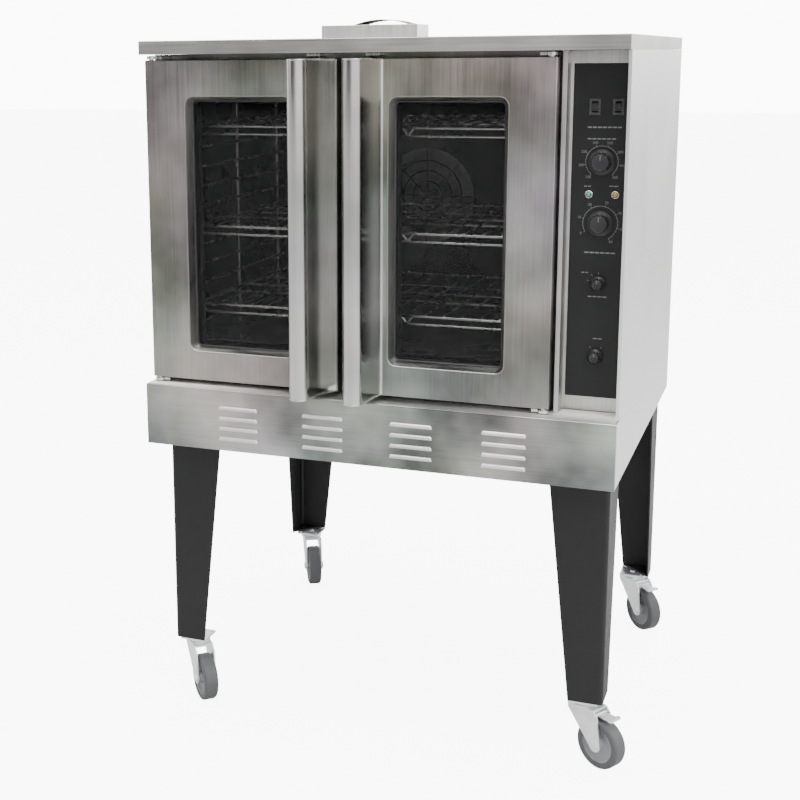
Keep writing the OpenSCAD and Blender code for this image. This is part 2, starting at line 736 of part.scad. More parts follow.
module legs() color("#2f2f30") for (x = [0, 1], rear = [0, 1])
    mirror([x, 0, 0]) translate([leg_x, front_y + (rear == 1 ? leg_back_d : leg_front_d), 0])
        mirror([0, rear, 0]) leg();

// Swivel axes of the casters, as x and depth, and the way each wheel trails
stems = [[-stem_x, stem_front_d], [stem_x, stem_front_d], [-stem_x, stem_back_d], [stem_x, stem_back_d]];
turns = [-47, -30, -62, -45];

module at_stem(i) translate([stems[i][0], front_y + stems[i][1], 0]) children();

module caster_plates() color("#c4c6c8") for (i = [0 : 3]) at_stem(i) difference() {
    union() {
        translate([-29, -29, caster_h - 4.2]) cube([58, 58, 4]);
        translate([0, 0, caster_h - 9]) cylinder(r = 24, h = 5);
    }
    translate([0, 0, caster_h - 10]) cylinder(r = kingpin_r + fit, h = 12);
    for (x = [-22, 22], y = [-22, 22]) translate([x, y, caster_h - 5]) cylinder(r = 3.2, h = 6);
}

wheel_r = wheel_d / 2;
wheel_w = 32;
cheek = 3;
fork_z = caster_h - 15;
brake_x = trail - 4;
brake_z = fork_z - 7;
brake_len = 38;
brake_pin_r = 3;

// The fork: a swivel disc and kingpin, two cheeks, the bridge over the wheel, and the axle bolt
module fork(braked = false) {
    for (side = [-1, 1]) translate([0, side * (wheel_w / 2 + 4) + cheek / 2, 0]) rotate([90, 0, 0])
        linear_extrude(cheek) difference() {
            union() {
                polygon([[-24, fork_z + 4], [-24, fork_z - 8], [trail - 13, wheel_r - 4],
                         [trail + 13, wheel_r - 2], [trail + 4, fork_z - 8], [trail - 6, fork_z + 4]]);
                translate([trail, wheel_r]) circle(13);
            }
            translate([trail, wheel_r]) circle(axle_r);
            if (braked) translate([brake_x, brake_z]) circle(brake_pin_r + fit);
        }
    translate([-24, -wheel_w / 2 - 4, fork_z]) cube([trail + 18, wheel_w + 8, 4]);
    translate([0, 0, fork_z]) cylinder(r = 26, h = 5.5);
    translate([0, 0, fork_z]) cylinder(r = kingpin_r, h = 17);
    translate([trail, wheel_w / 2 + 9, wheel_r]) rotate([90, 0, 0]) {
        cylinder(r = axle_r - fit, h = wheel_w + 18);
        cylinder(r = 9, h = 3.4, $fn = 6);
        translate([0, 0, wheel_w + 14.6]) cylinder(r = 9, h = 3.4, $fn = 6);
    }
}

module placed(i) at_stem(i) rotate(turns[i]) children();

module caster_fork_fl() color("#c4c6c8") placed(0) fork();
module caster_fork_fr() color("#c4c6c8") placed(1) fork(true);
module caster_fork_rl() color("#c4c6c8") placed(2) fork();
module caster_fork_rr() color("#c4c6c8") placed(3) fork(true);

// The wheel: a round tread, a dished hub and a running bore
module wheel() translate([trail, 0, wheel_r]) rotate([90, 0, 0]) difference() {
    union() {
        cylinder(r = wheel_r, h = wheel_w - 10, center = true, $fn = 72);
        cylinder(r = wheel_r - 4, h = wheel_w - 2, center = true, $fn = 72);
    }
    for (side = [-1, 1]) translate([0, 0, side * (wheel_w / 2 - 1)]) difference() {
        cylinder(r = wheel_r - 13, h = 12, center = true);
        cylinder(r = 13, h = 14, center = true);
    }
    cylinder(r = axle_r, h = wheel_w + 2, center = true);
}

module caster_wheel_fl() color("#8e9092") placed(0) wheel();
module caster_wheel_fr() color("#8e9092") placed(1) wheel();
module caster_wheel_rl() color("#8e9092") placed(2) wheel();
module caster_wheel_rr() color("#8e9092") placed(3) wheel();

// The brake pedal, which turns on its cross pin at the rear of the fork
module brake_lever() {
    translate([brake_x, 0, brake_z]) rotate([90, 0, 0])
        cylinder(r = brake_pin_r, h = wheel_w + 16, center = true);
    translate([brake_x, -12, brake_z - 1.5]) cube([brake_len, 24, 3]);
    translate([brake_x + brake_len - 8, -15, brake_z - 1.5]) cube([8, 30, 5]);
}

module brake_lever_fr() color("#b4b6b8") placed(1) brake_lever();
module brake_lever_rr() color("#b4b6b8") placed(3) brake_lever();

// ---------------------------------------------------------------- fasteners and inlet

module screws() color(bright) {
    for (x = [-1, 1], z = [skirt_z + 40 : 180 : lid_z - 30])
        rod_d(x * (body_w / 2 - 34), z, 4, body_d + 0.1, body_d + 2.4);
    for (x = [-78, 78], z = [-78, 78])
        rod_d(mid_x + x, chamber_mid_z + z, 3.9, motor_d - 3, motor_d + 9);
    for (x = [-1, 1], d = [leg_front_d + 30, leg_front_d + 80, leg_back_d - 30, leg_back_d - 80])
        rod_z(x * (leg_x - 30), d, 4, skirt_z + 4.4, skirt_z + 9);
    for (x = [-1, 1], d = [0, flue_depth])
        rod_z(flue_x + flue_w / 2 + x * (flue_w / 2 - 20), flue_d - 4 + d * 1.08, 3,
              body_h + 2.1, body_h + 4);
}

// A threaded gland in the back panel for the mains lead
module power_inlet() color("#303234") difference() {
    union() {
        rod_d(inlet_at[0], inlet_at[1], 17, body_d + 0.2, body_d + 6);
        rod_d(inlet_at[0], inlet_at[1], 11.5, body_d - 14, body_d + 18);
    }
    rod_d(inlet_at[0], inlet_at[1], 7, body_d - 15, body_d + 19);
}

stood() lid();
stood() side_panels();
stood() back_panel();
stood() base_pan();
stood() skirt();
stood() face_frame();
stood() control_fascia();
stood() control_surround();
stood() compartment_wall();
stood() oven_liner();
stood() insulation();
stood() rack_guides();
stood() fan_baffle();
stood() fan_motor();
stood() burners();
stood() gas_train();
stood() flue_duct();
stood() flue_box();
stood() flue_hood();
stood() control_bodies();
stood() indicator_lamps();
stood() hinge_brackets();
stood() door_catches();
stood() door_gasket();
stood() legs();
stood() caster_plates();
stood() screws();
stood() power_inlet();
stood() left_door_shell();
stood() left_door_liner();
stood() left_glass();
stood() left_window_trim();
stood() left_handle();
stood() left_hinge_pins();
stood() right_door_shell();
stood() right_door_liner();
stood() right_glass();
stood() right_window_trim();
stood() right_handle();
stood() right_hinge_pins();
stood() rack_upper();
stood() rack_middle();
stood() rack_lower();
stood() blower_wheel();
stood() thermostat_knob();
stood() timer_knob();
stood() mode_knob();
stood() fan_speed_knob();
stood() power_rocker();
stood() light_rocker();
stood() caster_fork_fl();
stood() caster_fork_fr();
stood() caster_fork_rl();
stood() caster_fork_rr();
stood() caster_wheel_fl();
stood() caster_wheel_fr();
stood() caster_wheel_rl();
stood() caster_wheel_rr();
stood() brake_lever_fr();
stood() brake_lever_rr();
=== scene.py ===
import json
import math

import bmesh
import bpy
from bpy.props import FloatProperty, FloatVectorProperty, PointerProperty
from mathutils import Matrix, Vector
from mathutils.geometry import interpolate_bezier


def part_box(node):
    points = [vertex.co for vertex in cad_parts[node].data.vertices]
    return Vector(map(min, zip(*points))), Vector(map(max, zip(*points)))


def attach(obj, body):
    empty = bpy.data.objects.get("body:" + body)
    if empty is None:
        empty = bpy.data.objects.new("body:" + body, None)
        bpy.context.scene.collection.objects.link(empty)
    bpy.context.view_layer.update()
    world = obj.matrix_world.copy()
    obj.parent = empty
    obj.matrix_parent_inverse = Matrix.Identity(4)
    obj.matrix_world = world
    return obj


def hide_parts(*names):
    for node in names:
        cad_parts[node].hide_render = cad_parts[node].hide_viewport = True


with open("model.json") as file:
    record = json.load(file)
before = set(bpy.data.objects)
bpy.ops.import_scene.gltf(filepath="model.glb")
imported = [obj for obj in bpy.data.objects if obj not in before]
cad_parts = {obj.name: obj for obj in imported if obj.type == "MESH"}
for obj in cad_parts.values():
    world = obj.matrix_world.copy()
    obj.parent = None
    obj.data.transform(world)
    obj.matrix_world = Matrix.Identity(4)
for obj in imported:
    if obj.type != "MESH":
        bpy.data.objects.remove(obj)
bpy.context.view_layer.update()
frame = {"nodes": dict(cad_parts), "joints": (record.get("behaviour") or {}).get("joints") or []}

bl_info = {
    "name": "Convection Oven",
    "version": (1, 0, 0),
    "blender": (4, 5, 0),
    "location": "3D View > Sidebar > Oven",
    "description": "Builds a glazed twin-door convection oven on legs and casters",
    "category": "Object",
}

MM = 0.001
CORNERS = ("fl", "fr", "rl", "rr")
BRAKED = ("fr", "rr")
SIDES = ("left", "right")


# ---------------------------------------------------------------- settings

class OvenSizes(bpy.types.PropertyGroup):
    """Sizes of the details that finish the oven's pieces"""

    edge: FloatProperty(
        name="Sheet edge", description="Rounding of a folded sheet's edges",
        default=1.2 * MM, unit="LENGTH")
    lip: FloatProperty(
        name="Window lip", description="How far a window slopes in from the door's face",
        default=10.7 * MM, unit="LENGTH")
    handle_wall: FloatProperty(
        name="Handle sheet", description="Thickness of a handle's sheet",
        default=2 * MM, unit="LENGTH")
    leg_fold: FloatProperty(
        name="Leg fold", description="Outside radius of a leg's long fold",
        default=9 * MM, unit="LENGTH")
    wire: FloatProperty(
        name="Rack rim", description="Diameter of a rack's rim wire",
        default=6.2 * MM, unit="LENGTH")
    mark: FloatProperty(
        name="Printed line", description="Width of a line printed on the control fascia",
        default=0.9 * MM, unit="LENGTH")


class OvenColours(bpy.types.PropertyGroup):
    """Colours of the oven's finishes"""

    steel: FloatVectorProperty(
        name="Stainless", description="Brushed sheet of the lid, doors and skirt",
        subtype="COLOR", size=3, default=(0.272, 0.269, 0.258))
    side: FloatVectorProperty(
        name="Side panels", description="Light satin sheet of the side panels",
        subtype="COLOR", size=3, default=(0.80, 0.80, 0.785))
    fascia: FloatVectorProperty(
        name="Fascia", description="Satin black of the control fascia",
        subtype="COLOR", size=3, default=(0.012, 0.0125, 0.013))
    legs: FloatVectorProperty(
        name="Legs", description="Black powder coat of the legs",
        subtype="COLOR", size=3, default=(0.011, 0.011, 0.0115))
    tread: FloatVectorProperty(
        name="Wheels", description="Grey polymer of the caster wheels",
        subtype="COLOR", size=3, default=(0.075, 0.078, 0.08))
    amber: FloatVectorProperty(
        name="Amber lamp", description="Lens of the right-hand lamp",
        subtype="COLOR", size=3, default=(0.42, 0.30, 0.05))
    green: FloatVectorProperty(
        name="Green lamp", description="Lens of the left-hand lamp",
        subtype="COLOR", size=3, default=(0.10, 0.28, 0.24))


class OvenStage(bpy.types.PropertyGroup):
    """The camera and the pale studio round the oven"""

    azimuth: FloatProperty(
        name="Azimuth", description="How far the camera looks from the right of straight on",
        default=math.radians(21.86), subtype="ANGLE")
    elevation: FloatProperty(
        name="Elevation", description="How far the camera looks down",
        default=math.radians(11.0), subtype="ANGLE")
    roll: FloatProperty(
        name="Roll", description="Turn of the camera about its own line of sight",
        default=math.radians(-0.61), subtype="ANGLE")
    place: FloatVectorProperty(
        name="Camera", description="Where the camera stands",
        default=(0.800, -2.831, 1.393), subtype="TRANSLATION")
    lens: FloatProperty(
        name="Lens", description="Focal length on a 36 mm sensor, in millimetres",
        default=60.6)
    light: FloatProperty(
        name="Light", description="Strength of the studio light", default=1.0)


# ---------------------------------------------------------------- shader groups

def add_node(tree, kind, links=None, **settings):
    """Adds a shader node, sets its options, and links or sets its inputs"""
    made = tree.nodes.new(kind)
    for key, value in settings.items():
        setattr(made, key, value)
    for key, value in (links or {}).items():
        if isinstance(value, bpy.types.NodeSocket):
            tree.links.new(value, made.inputs[key])
        else:
            made.inputs[key].default_value = value
    return made


def new_group(name, inputs, outputs):
    """An empty shader group with its sockets: (tree, input node, output node)"""
    tree = bpy.data.node_groups.new(name, "ShaderNodeTree")
    for label, kind, value in inputs:
        socket = tree.interface.new_socket(label, in_out="INPUT", socket_type=kind)
        socket.default_value = value
    for label, kind in outputs:
        tree.interface.new_socket(label, in_out="OUTPUT", socket_type=kind)
    return tree, tree.nodes.new("NodeGroupInput"), tree.nodes.new("NodeGroupOutput")


def shared_group(name):
    """Marks a function that fills a shader group, so that the group is made only once"""
    def wrap(fill):
        def group():
            return bpy.data.node_groups.get(name) or fill(name)
        return group
    return wrap


def object_place(tree):
    """Object coordinates"""
    return add_node(tree, "ShaderNodeTexCoord").outputs["Object"]


def reckon(tree, operation, first, second):
    """The outcome of one operation on two values"""
    return add_node(tree, "ShaderNodeMath", {0: first, 1: second}, operation=operation).outputs[0]


def stretched_noise(tree, vector, stretch, scale, detail=2.0):
    """Noise on object coordinates multiplied by a stretch"""
    scaled = add_node(tree, "ShaderNodeVectorMath", {0: vector, 1: stretch}, operation="MULTIPLY")
    noise = add_node(tree, "ShaderNodeTexNoise",
                     {"Vector": scaled.outputs[0], "Scale": scale, "Detail": detail, "Roughness": 0.6})
    return noise.outputs["Fac"]


@shared_group("Brushed grain")
def brushed_grain(name):
    """Fine parallel scratches of a brushed sheet, along the axis whose stretch is small"""
    tree, start, end = new_group(
        name,
        [("Stretch", "NodeSocketVector", (1.0, 1.0, 1.0)), ("Depth", "NodeSocketFloat", 0.5)],
        [("Height", "NodeSocketFloat"), ("Streak", "NodeSocketFloat")])
    place = object_place(tree)
    fine = stretched_noise(tree, place, start.outputs["Stretch"], 900.0)
    long = stretched_noise(tree, place, start.outputs["Stretch"], 220.0, 3.0)
    both = reckon(tree, "ADD", fine, long)
    streak = add_node(tree, "ShaderNodeMapRange", {"Value": both, "From Min": 0.75, "From Max": 1.25})
    tree.links.new(reckon(tree, "MULTIPLY", both, start.outputs["Depth"]), end.inputs["Height"])
    tree.links.new(streak.outputs[0], end.inputs["Streak"])
    return tree


@shared_group("Cloudiness")
def cloudiness(name):
    """Soft clouds over a surface: painted sheen and reflections in the colour of steel and paint, handling
    marks in roughness, and films and dull or stained patches in other finishes
    """
    tree, start, end = new_group(
        name,
        [("Scale", "NodeSocketFloat", 4.0), ("Stretch", "NodeSocketVector", (1.0, 1.0, 1.0))],
        [("Mask", "NodeSocketFloat"), ("Tint", "NodeSocketColor")])
    place = object_place(tree)
    scaled = add_node(tree, "ShaderNodeVectorMath", {0: place, 1: start.outputs["Stretch"]},
                      operation="MULTIPLY")
    noise = add_node(tree, "ShaderNodeTexNoise",
                     {"Vector": scaled.outputs[0], "Scale": start.outputs["Scale"], "Detail": 3.0})
    mask = add_node(tree, "ShaderNodeMapRange",
                    {"Value": noise.outputs["Fac"], "From Min": 0.35, "From Max": 0.65})
    tree.links.new(mask.outputs[0], end.inputs["Mask"])
    tree.links.new(noise.outputs["Color"], end.inputs["Tint"])
    return tree


@shared_group("Edge wear")
def edge_wear(name):
    """A broken mask along a piece's edges, where a finish rubs thin"""
    tree, start, end = new_group(
        name, [("Radius", "NodeSocketFloat", 0.002), ("Breakup", "NodeSocketFloat", 90.0)],
        [("Mask", "NodeSocketFloat")])
    rounded = add_node(tree, "ShaderNodeBevel", {"Radius": start.outputs["Radius"]}, samples=4)
    flat = add_node(tree, "ShaderNodeNewGeometry")
    same = add_node(tree, "ShaderNodeVectorMath",
                    {0: rounded.outputs[0], 1: flat.outputs["Normal"]}, operation="DOT_PRODUCT")
    edge = add_node(tree, "ShaderNodeMapRange",
                    {"Value": same.outputs["Value"], "From Min": 0.99, "From Max": 0.90})
    place = object_place(tree)
    noise = add_node(tree, "ShaderNodeTexNoise", {"Vector": place, "Scale": start.outputs["Breakup"]})
    rough = add_node(tree, "ShaderNodeMapRange",
                     {"Value": noise.outputs["Fac"], "From Min": 0.40, "From Max": 0.62})
    tree.links.new(reckon(tree, "MULTIPLY", edge.outputs[0], rough.outputs[0]), end.inputs["Mask"])
    return tree


@shared_group("Fine texture")
def fine_texture(name):
    """The pebbled skin of a sprayed, moulded or cast surface, and its scattered specks"""
    tree, start, end = new_group(
        name,
        [("Scale", "NodeSocketFloat", 600.0), ("Specks", "NodeSocketFloat", 0.2)],
        [("Height", "NodeSocketFloat"), ("Speck", "NodeSocketFloat")])
    place = object_place(tree)
    noise = add_node(tree, "ShaderNodeTexNoise",
                     {"Vector": place, "Scale": start.outputs["Scale"], "Detail": 3.0})
    cells = add_node(tree, "ShaderNodeTexVoronoi", {"Vector": place, "Scale": start.outputs["Scale"]})
    speck = reckon(tree, "LESS_THAN", cells.outputs["Distance"], start.outputs["Specks"])
    tree.links.new(noise.outputs["Fac"], end.inputs["Height"])
    tree.links.new(speck, end.inputs["Speck"])
    return tree


# ---------------------------------------------------------------- materials

def made_once(build):
    """Marks a function that builds a material, so that each name is built only once"""
    def material(name, *values, **settings):
        return bpy.data.materials.get(name) or build(name, *values, **settings)
    return material


def use_group(tree, group, **values):
    """Places a shader group in a material, with its own values"""
    made = add_node(tree, "ShaderNodeGroup", node_tree=group)
    for key, value in values.items():
        made.inputs[key].default_value = value
    return made.outputs


def new_material(name, roughness, metallic, **sockets):
    """A material's tree and its Principled shader, with constants set on the shader's own sockets"""
    made = bpy.data.materials.new(name)
    made.use_nodes = True
    tree = made.node_tree
    shader = tree.nodes["Principled BSDF"]
    shader.inputs["Roughness"].default_value = roughness
    shader.inputs["Metallic"].default_value = metallic
    for key, value in sockets.items():
        shader.inputs[key.replace("_", " ")].default_value = value
    return made, tree, shader


def mix_colour(tree, mask, low, high, blend="MIX"):
    """A colour between two, following a mask"""
    made = add_node(tree, "ShaderNodeMix", data_type="RGBA", blend_type=blend)
    for index, value in ((0, mask), (6, low), (7, high)):
        if isinstance(value, bpy.types.NodeSocket):
            tree.links.new(value, made.inputs[index])
        elif index:
            made.inputs[index].default_value = (*value[:3], 1.0)
        else:
            made.inputs[index].default_value = value
    return made.outputs[2]


def mapped(tree, mask, low, high):
    """A mask stretched between two values"""
    return add_node(tree, "ShaderNodeMapRange", {"Value": mask, "To Min": low, "To Max": high}).outputs[0]


def bump(tree, shader, height, strength, distance):
    """Feeds a height to the shader's normal"""
    made = add_node(tree, "ShaderNodeBump",
                    {"Height": height, "Strength": strength, "Distance": distance})
    tree.links.new(made.outputs[0], shader.inputs["Normal"])


def scaled_colour(colour, factor):
    """A colour made lighter or darker"""
    return tuple(channel * factor for channel in colour)


@made_once
def brushed(name, colour, along, roughness=0.34, contrast=0.10, reflection_clouds=0.18, reflection_hues=0.28):
    """Brushed metal sheet: grain along one axis, under painted reflections (lighter and darker clouds and
    faint coloured tints in its colour) and uneven sheen in its roughness
    """
    made, tree, shader = new_material(name, roughness, 1.0, Anisotropic=0.55)
    stretch = [1.0, 1.0, 1.0]
    stretch["XYZ".index(along)] = 0.012
    grain = use_group(tree, brushed_grain(), Stretch=stretch, Depth=0.5)
    streaked = mix_colour(tree, grain["Streak"], scaled_colour(colour, 1 - contrast),
                          scaled_colour(colour, 1 + contrast))
    # Painted reflection: soft clouds lighten and darken the colour and a second cloud tints it faintly,
    # standing in for the studio mirrored in the sheet
    sheen = use_group(tree, cloudiness(), Scale=4.6)
    shade = mix_colour(tree, sheen["Mask"], (0.5 - reflection_clouds,) * 3, (0.5 + reflection_clouds,) * 3)
    with_reflections = mix_colour(tree, 1.0, streaked, shade, "OVERLAY")
    reflected_tint = use_group(tree, cloudiness(), Scale=2.4)
    tree.links.new(mix_colour(tree, reflection_hues, with_reflections, reflected_tint["Tint"], "OVERLAY"), shader.inputs["Base Color"])
    tree.links.new(reckon(tree, "ADD", mapped(tree, grain["Streak"], roughness - 0.05, roughness + 0.05),
                          mapped(tree, sheen["Mask"], -0.03, 0.04)), shader.inputs["Roughness"])
    bump(tree, shader, grain["Height"], 0.10, 0.0003)
    return made


@made_once
def painted(name, colour, roughness=0.42, texture=500.0, strength=0.12, worn=(0.30, 0.30, 0.30),
            wear=0.35, coat=0.0, gloss=0.35):
    """Sprayed or moulded finish with a pebbled skin, cloudy sheen and edges rubbed pale"""
    made, tree, shader = new_material(name, roughness, 0.0, Coat_Weight=coat, Specular_IOR_Level=gloss)
    skin = use_group(tree, fine_texture(), Scale=texture, Specks=0.0)
    sheen = use_group(tree, cloudiness(), Scale=6.0)
    edges = use_group(tree, edge_wear(), Radius=0.0018, Breakup=110.0)
    base = mix_colour(tree, sheen["Mask"], scaled_colour(colour, 0.88), scaled_colour(colour, 1.14))
    rubbed = mix_colour(tree, mapped(tree, edges["Mask"], 0.0, wear), base, worn)
    tree.links.new(rubbed, shader.inputs["Base Color"])
    tree.links.new(mapped(tree, sheen["Mask"], roughness - 0.05, roughness + 0.07),
                   shader.inputs["Roughness"])
    bump(tree, shader, skin["Height"], strength, 0.0006)
    return made


@made_once
def enamel(name, colour, speck):
    """Fired enamel: glossy, dark, with pale specks and a baked-on film"""
    made, tree, shader = new_material(name, 0.22, 0.0, Coat_Weight=0.4)
    skin = use_group(tree, fine_texture(), Scale=420.0, Specks=0.22)
    film = use_group(tree, cloudiness(), Scale=7.0)
    base = mix_colour(tree, skin["Speck"], colour, speck)
    filmed = mix_colour(tree, mapped(tree, film["Mask"], 0.0, 0.35), base, (0.055, 0.045, 0.035))
    tree.links.new(filmed, shader.inputs["Base Color"])
    tree.links.new(mapped(tree, film["Mask"], 0.18, 0.42), shader.inputs["Roughness"])
    bump(tree, shader, skin["Height"], 0.08, 0.0004)
    return made


@made_once
def plated(name, colour, roughness=0.3, spangle=160.0, spread=0.10):
    """Zinc or nickel plating: a crystal spangle and dull patches"""
    made, tree, shader = new_material(name, roughness, 1.0)
    place = object_place(tree)
    cells = add_node(tree, "ShaderNodeTexVoronoi", {"Vector": place, "Scale": spangle})
    grey = add_node(tree, "ShaderNodeRGBToBW", {"Color": cells.outputs["Color"]})
    dull = use_group(tree, cloudiness(), Scale=14.0)
    base = mix_colour(tree, grey.outputs[0], scaled_colour(colour, 1 - spread),
                      scaled_colour(colour, 1 + spread))
    tree.links.new(mix_colour(tree, mapped(tree, dull["Mask"], 0.0, 0.4), base,
                              scaled_colour(colour, 0.72)), shader.inputs["Base Color"])
    tree.links.new(mapped(tree, dull["Mask"], roughness - 0.06, roughness + 0.14),
                   shader.inputs["Roughness"])
    bump(tree, shader, grey.outputs[0], 0.05, 0.0003)
    return made


@made_once
def glass_material(name, tint, alpha):
    """Tinted oven glass with a faint film on it"""
    made, tree, shader = new_material(name, 0.03, 0.0, Alpha=alpha)
    film = use_group(tree, cloudiness(), Scale=9.0)
    tree.links.new(mix_colour(tree, film["Mask"], scaled_colour(tint, 0.8), scaled_colour(tint, 1.3)),
                   shader.inputs["Base Color"])
    tree.links.new(mapped(tree, film["Mask"], 0.02, 0.07), shader.inputs["Roughness"])
    return made


@made_once
def lens_material(name, colour):
    """Ribbed coloured lens with a weak glow"""
    made, tree, shader = new_material(name, 0.18, 0.0, Coat_Weight=0.8, Emission_Strength=0.12)
    place = object_place(tree)
    ribs = add_node(tree, "ShaderNodeTexWave", {"Vector": place, "Scale": 260.0, "Distortion": 0.0},
                    bands_direction="Z")
    ribbed = mix_colour(tree, ribs.outputs["Fac"], scaled_colour(colour, 0.7), colour)
    tree.links.new(ribbed, shader.inputs["Base Color"])
    tree.links.new(ribbed, shader.inputs["Emission Color"])
    bump(tree, shader, ribs.outputs["Fac"], 0.2, 0.0003)
    return made


@made_once
def wool_material(name):
    """Matted mineral wool"""
    made, tree, shader = new_material(name, 0.95, 0.0, Sheen_Weight=0.4)
    fibres = use_group(tree, brushed_grain(), Stretch=(0.25, 0.25, 0.9), Depth=1.0)
    tree.links.new(mix_colour(tree, fibres["Streak"], (0.42, 0.36, 0.18), (0.70, 0.63, 0.40)),
                   shader.inputs["Base Color"])
    bump(tree, shader, fibres["Height"], 0.6, 0.003)
    return made


@made_once
def woven_material(name, colour):
    """Braided door seal"""
    made, tree, shader = new_material(name, 0.75, 0.0)
    place = object_place(tree)
    braid = add_node(tree, "ShaderNodeTexChecker",
                     {"Vector": place, "Scale": 420.0, "Color1": (*scaled_colour(colour, 0.6), 1),
                      "Color2": (*scaled_colour(colour, 1.8), 1)})
    tree.links.new(braid.outputs["Color"], shader.inputs["Base Color"])
    bump(tree, shader, braid.outputs["Fac"], 0.5, 0.0006)
    return made


@made_once
def heat_stained(name, colour, hot):
    """Bare metal tinted straw and blue by heat, more so in patches"""
    made, tree, shader = new_material(name, 0.42, 1.0)
    patches = use_group(tree, cloudiness(), Scale=11.0)
    grain = use_group(tree, brushed_grain(), Stretch=(0.02, 1.0, 1.0), Depth=0.5)
    base = mix_colour(tree, grain["Streak"], scaled_colour(colour, 0.85), scaled_colour(colour, 1.12))
    tree.links.new(mix_colour(tree, mapped(tree, patches["Mask"], 0.0, 0.7), base, hot),
                   shader.inputs["Base Color"])
    tree.links.new(mapped(tree, patches["Mask"], 0.34, 0.55), shader.inputs["Roughness"])
    bump(tree, shader, grain["Height"], 0.08, 0.0003)
    return made


def finishes():
    """Every finish of the oven, by a maker's plain name; the ledge and louvre finishes are the stainless made
    lighter as painted highlight
    """
    tint = bpy.context.scene.oven_colours
    steel = tuple(tint.steel)
    return {
        "steel_wide": brushed("Stainless, grain across", scaled_colour(steel, 1.05), "X", reflection_clouds=0.32),
        # The ledge is the same stainless made far lighter: a painted highlight for its top, which faces the
        # overhead light
        "ledge": brushed("Satin ledge", scaled_colour(steel, 2.7), "X", 0.62, 0.04, 0.06, 0.08),
        "steel_tall": brushed("Stainless, grain upright", steel, "Z", reflection_clouds=0.22),
        "lid": brushed("Lid sheet, grain across", scaled_colour(steel, 1.85), "X", reflection_clouds=0.06, reflection_hues=0.08),
        "bay": brushed("Bay strip, grain upright", scaled_colour(steel, 1.9), "Z", reflection_clouds=0.08, reflection_hues=0.08),
        # The louvres are the skirt's stainless made three times lighter: a painted highlight for their tops,
        # which catch the overhead light
        "louvre": brushed("Pressed louvres", scaled_colour(steel, 3.0), "X", 0.52, 0.04, 0.04, 0.1),
        "side": brushed("Satin side sheet", tuple(tint.side), "Z", 0.42, 0.035, 0.02, 0.05),
        "handle": brushed("Polished handle", scaled_colour(steel, 1.85), "Z", 0.18, 0.05, 0.10, 0.08),
        "trim": brushed("Bright window trim", scaled_colour(steel, 1.15), "Z", 0.34, 0.03, 0.04, 0.1),
        "bright": brushed("Machined steel", (0.62, 0.62, 0.60), "Z", 0.26, 0.06, 0.05, 0.05),
        "chrome": plated("Plated wire", (0.66, 0.655, 0.63), 0.22, 420.0, 0.06),
        "galvanised": plated("Galvanised sheet", (0.52, 0.54, 0.55), 0.38, 90.0, 0.14),
        "zinc": plated("Zinc plate", (0.90, 0.91, 0.92), 0.40, 260.0, 0.06),
        "fascia": painted("Satin black fascia", tuple(tint.fascia), 0.40, 900.0, 0.05, wear=0.12, gloss=0.25),
        "legs": painted("Black powder coat", tuple(tint.legs), 0.50, 700.0, 0.22,
                        worn=(0.12, 0.12, 0.12), gloss=0.26),
        "knob": painted("Moulded black", (0.018, 0.018, 0.019), 0.38, 1100.0, 0.10,
                        worn=(0.09, 0.09, 0.09)),
        "print": painted("Printed marks", (0.15, 0.15, 0.145), 0.55, 1200.0, 0.04, wear=0.0),
        "tread": painted("Grey wheel", tuple(tint.tread), 0.52, 520.0, 0.18,
                         worn=(0.42, 0.42, 0.42)),
        "hub": painted("Wheel hub", scaled_colour(tint.tread, 3.4), 0.40, 700.0, 0.10,
                       worn=(0.5, 0.5, 0.5)),
        "enamel": enamel("Black enamel", (0.012, 0.012, 0.013), (0.10, 0.10, 0.10)),
        "enamel_grey": enamel("Grey enamel", (0.045, 0.046, 0.050), (0.20, 0.20, 0.20)),
        "motor": painted("Motor paint", (0.05, 0.09, 0.14), 0.35, 380.0, 0.18, coat=0.3),
        "burner": heat_stained("Burner tube", (0.36, 0.33, 0.29), (0.22, 0.13, 0.07)),
        "flue": heat_stained("Flue sheet", (0.30, 0.285, 0.265), (0.17, 0.14, 0.11)),
        "valve": plated("Valve alloy", (0.48, 0.46, 0.42), 0.42, 300.0, 0.08),
        "blower": plated("Aluminised steel", (0.26, 0.26, 0.25), 0.40, 130.0, 0.12),
        "plastic": painted("Switch body", (0.04, 0.04, 0.042), 0.48, 800.0, 0.10),
        "amber": lens_material("Amber lens", tuple(tint.amber)),
        "green": lens_material("Green lens", tuple(tint.green)),
        "glass": glass_material("Tinted glass", (0.006, 0.007, 0.007), 0.13),
        "wool": wool_material("Mineral wool"),
        "seal": woven_material("Braided seal", (0.03, 0.03, 0.03)),
    }


# ---------------------------------------------------------------- mesh helpers

def finish_piece(name, shape, body, material, replaced=(), angle=32.0):
    """Turns a bmesh into a piece that rides on a body"""
    mesh = bpy.data.meshes.new(name)
    shape.to_mesh(mesh)
    shape.free()
    mesh.polygons.foreach_set("use_smooth", [True] * len(mesh.polygons))
    mesh.set_sharp_from_angle(angle=math.radians(angle))
    mesh.materials.append(material)
    piece = bpy.data.objects.new(name, mesh)
    bpy.context.scene.collection.objects.link(piece)
    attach(piece, body)
    if replaced:
        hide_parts(*replaced)
    even = piece.modifiers.new("Even shading", "WEIGHTED_NORMAL")
    even.keep_sharp = True
    return piece


def cad_copy(node):
    """A CAD node's mesh in a bmesh, with flat areas made single faces"""
    shape = bmesh.new()
    shape.from_mesh(frame["nodes"][node].data)
    bmesh.ops.remove_doubles(shape, verts=shape.verts, dist=1e-6)
    bmesh.ops.dissolve_limit(shape, angle_limit=math.radians(0.6), verts=shape.verts,
                             edges=shape.edges, use_dissolve_boundaries=False, delimit={"NORMAL"})
    return shape


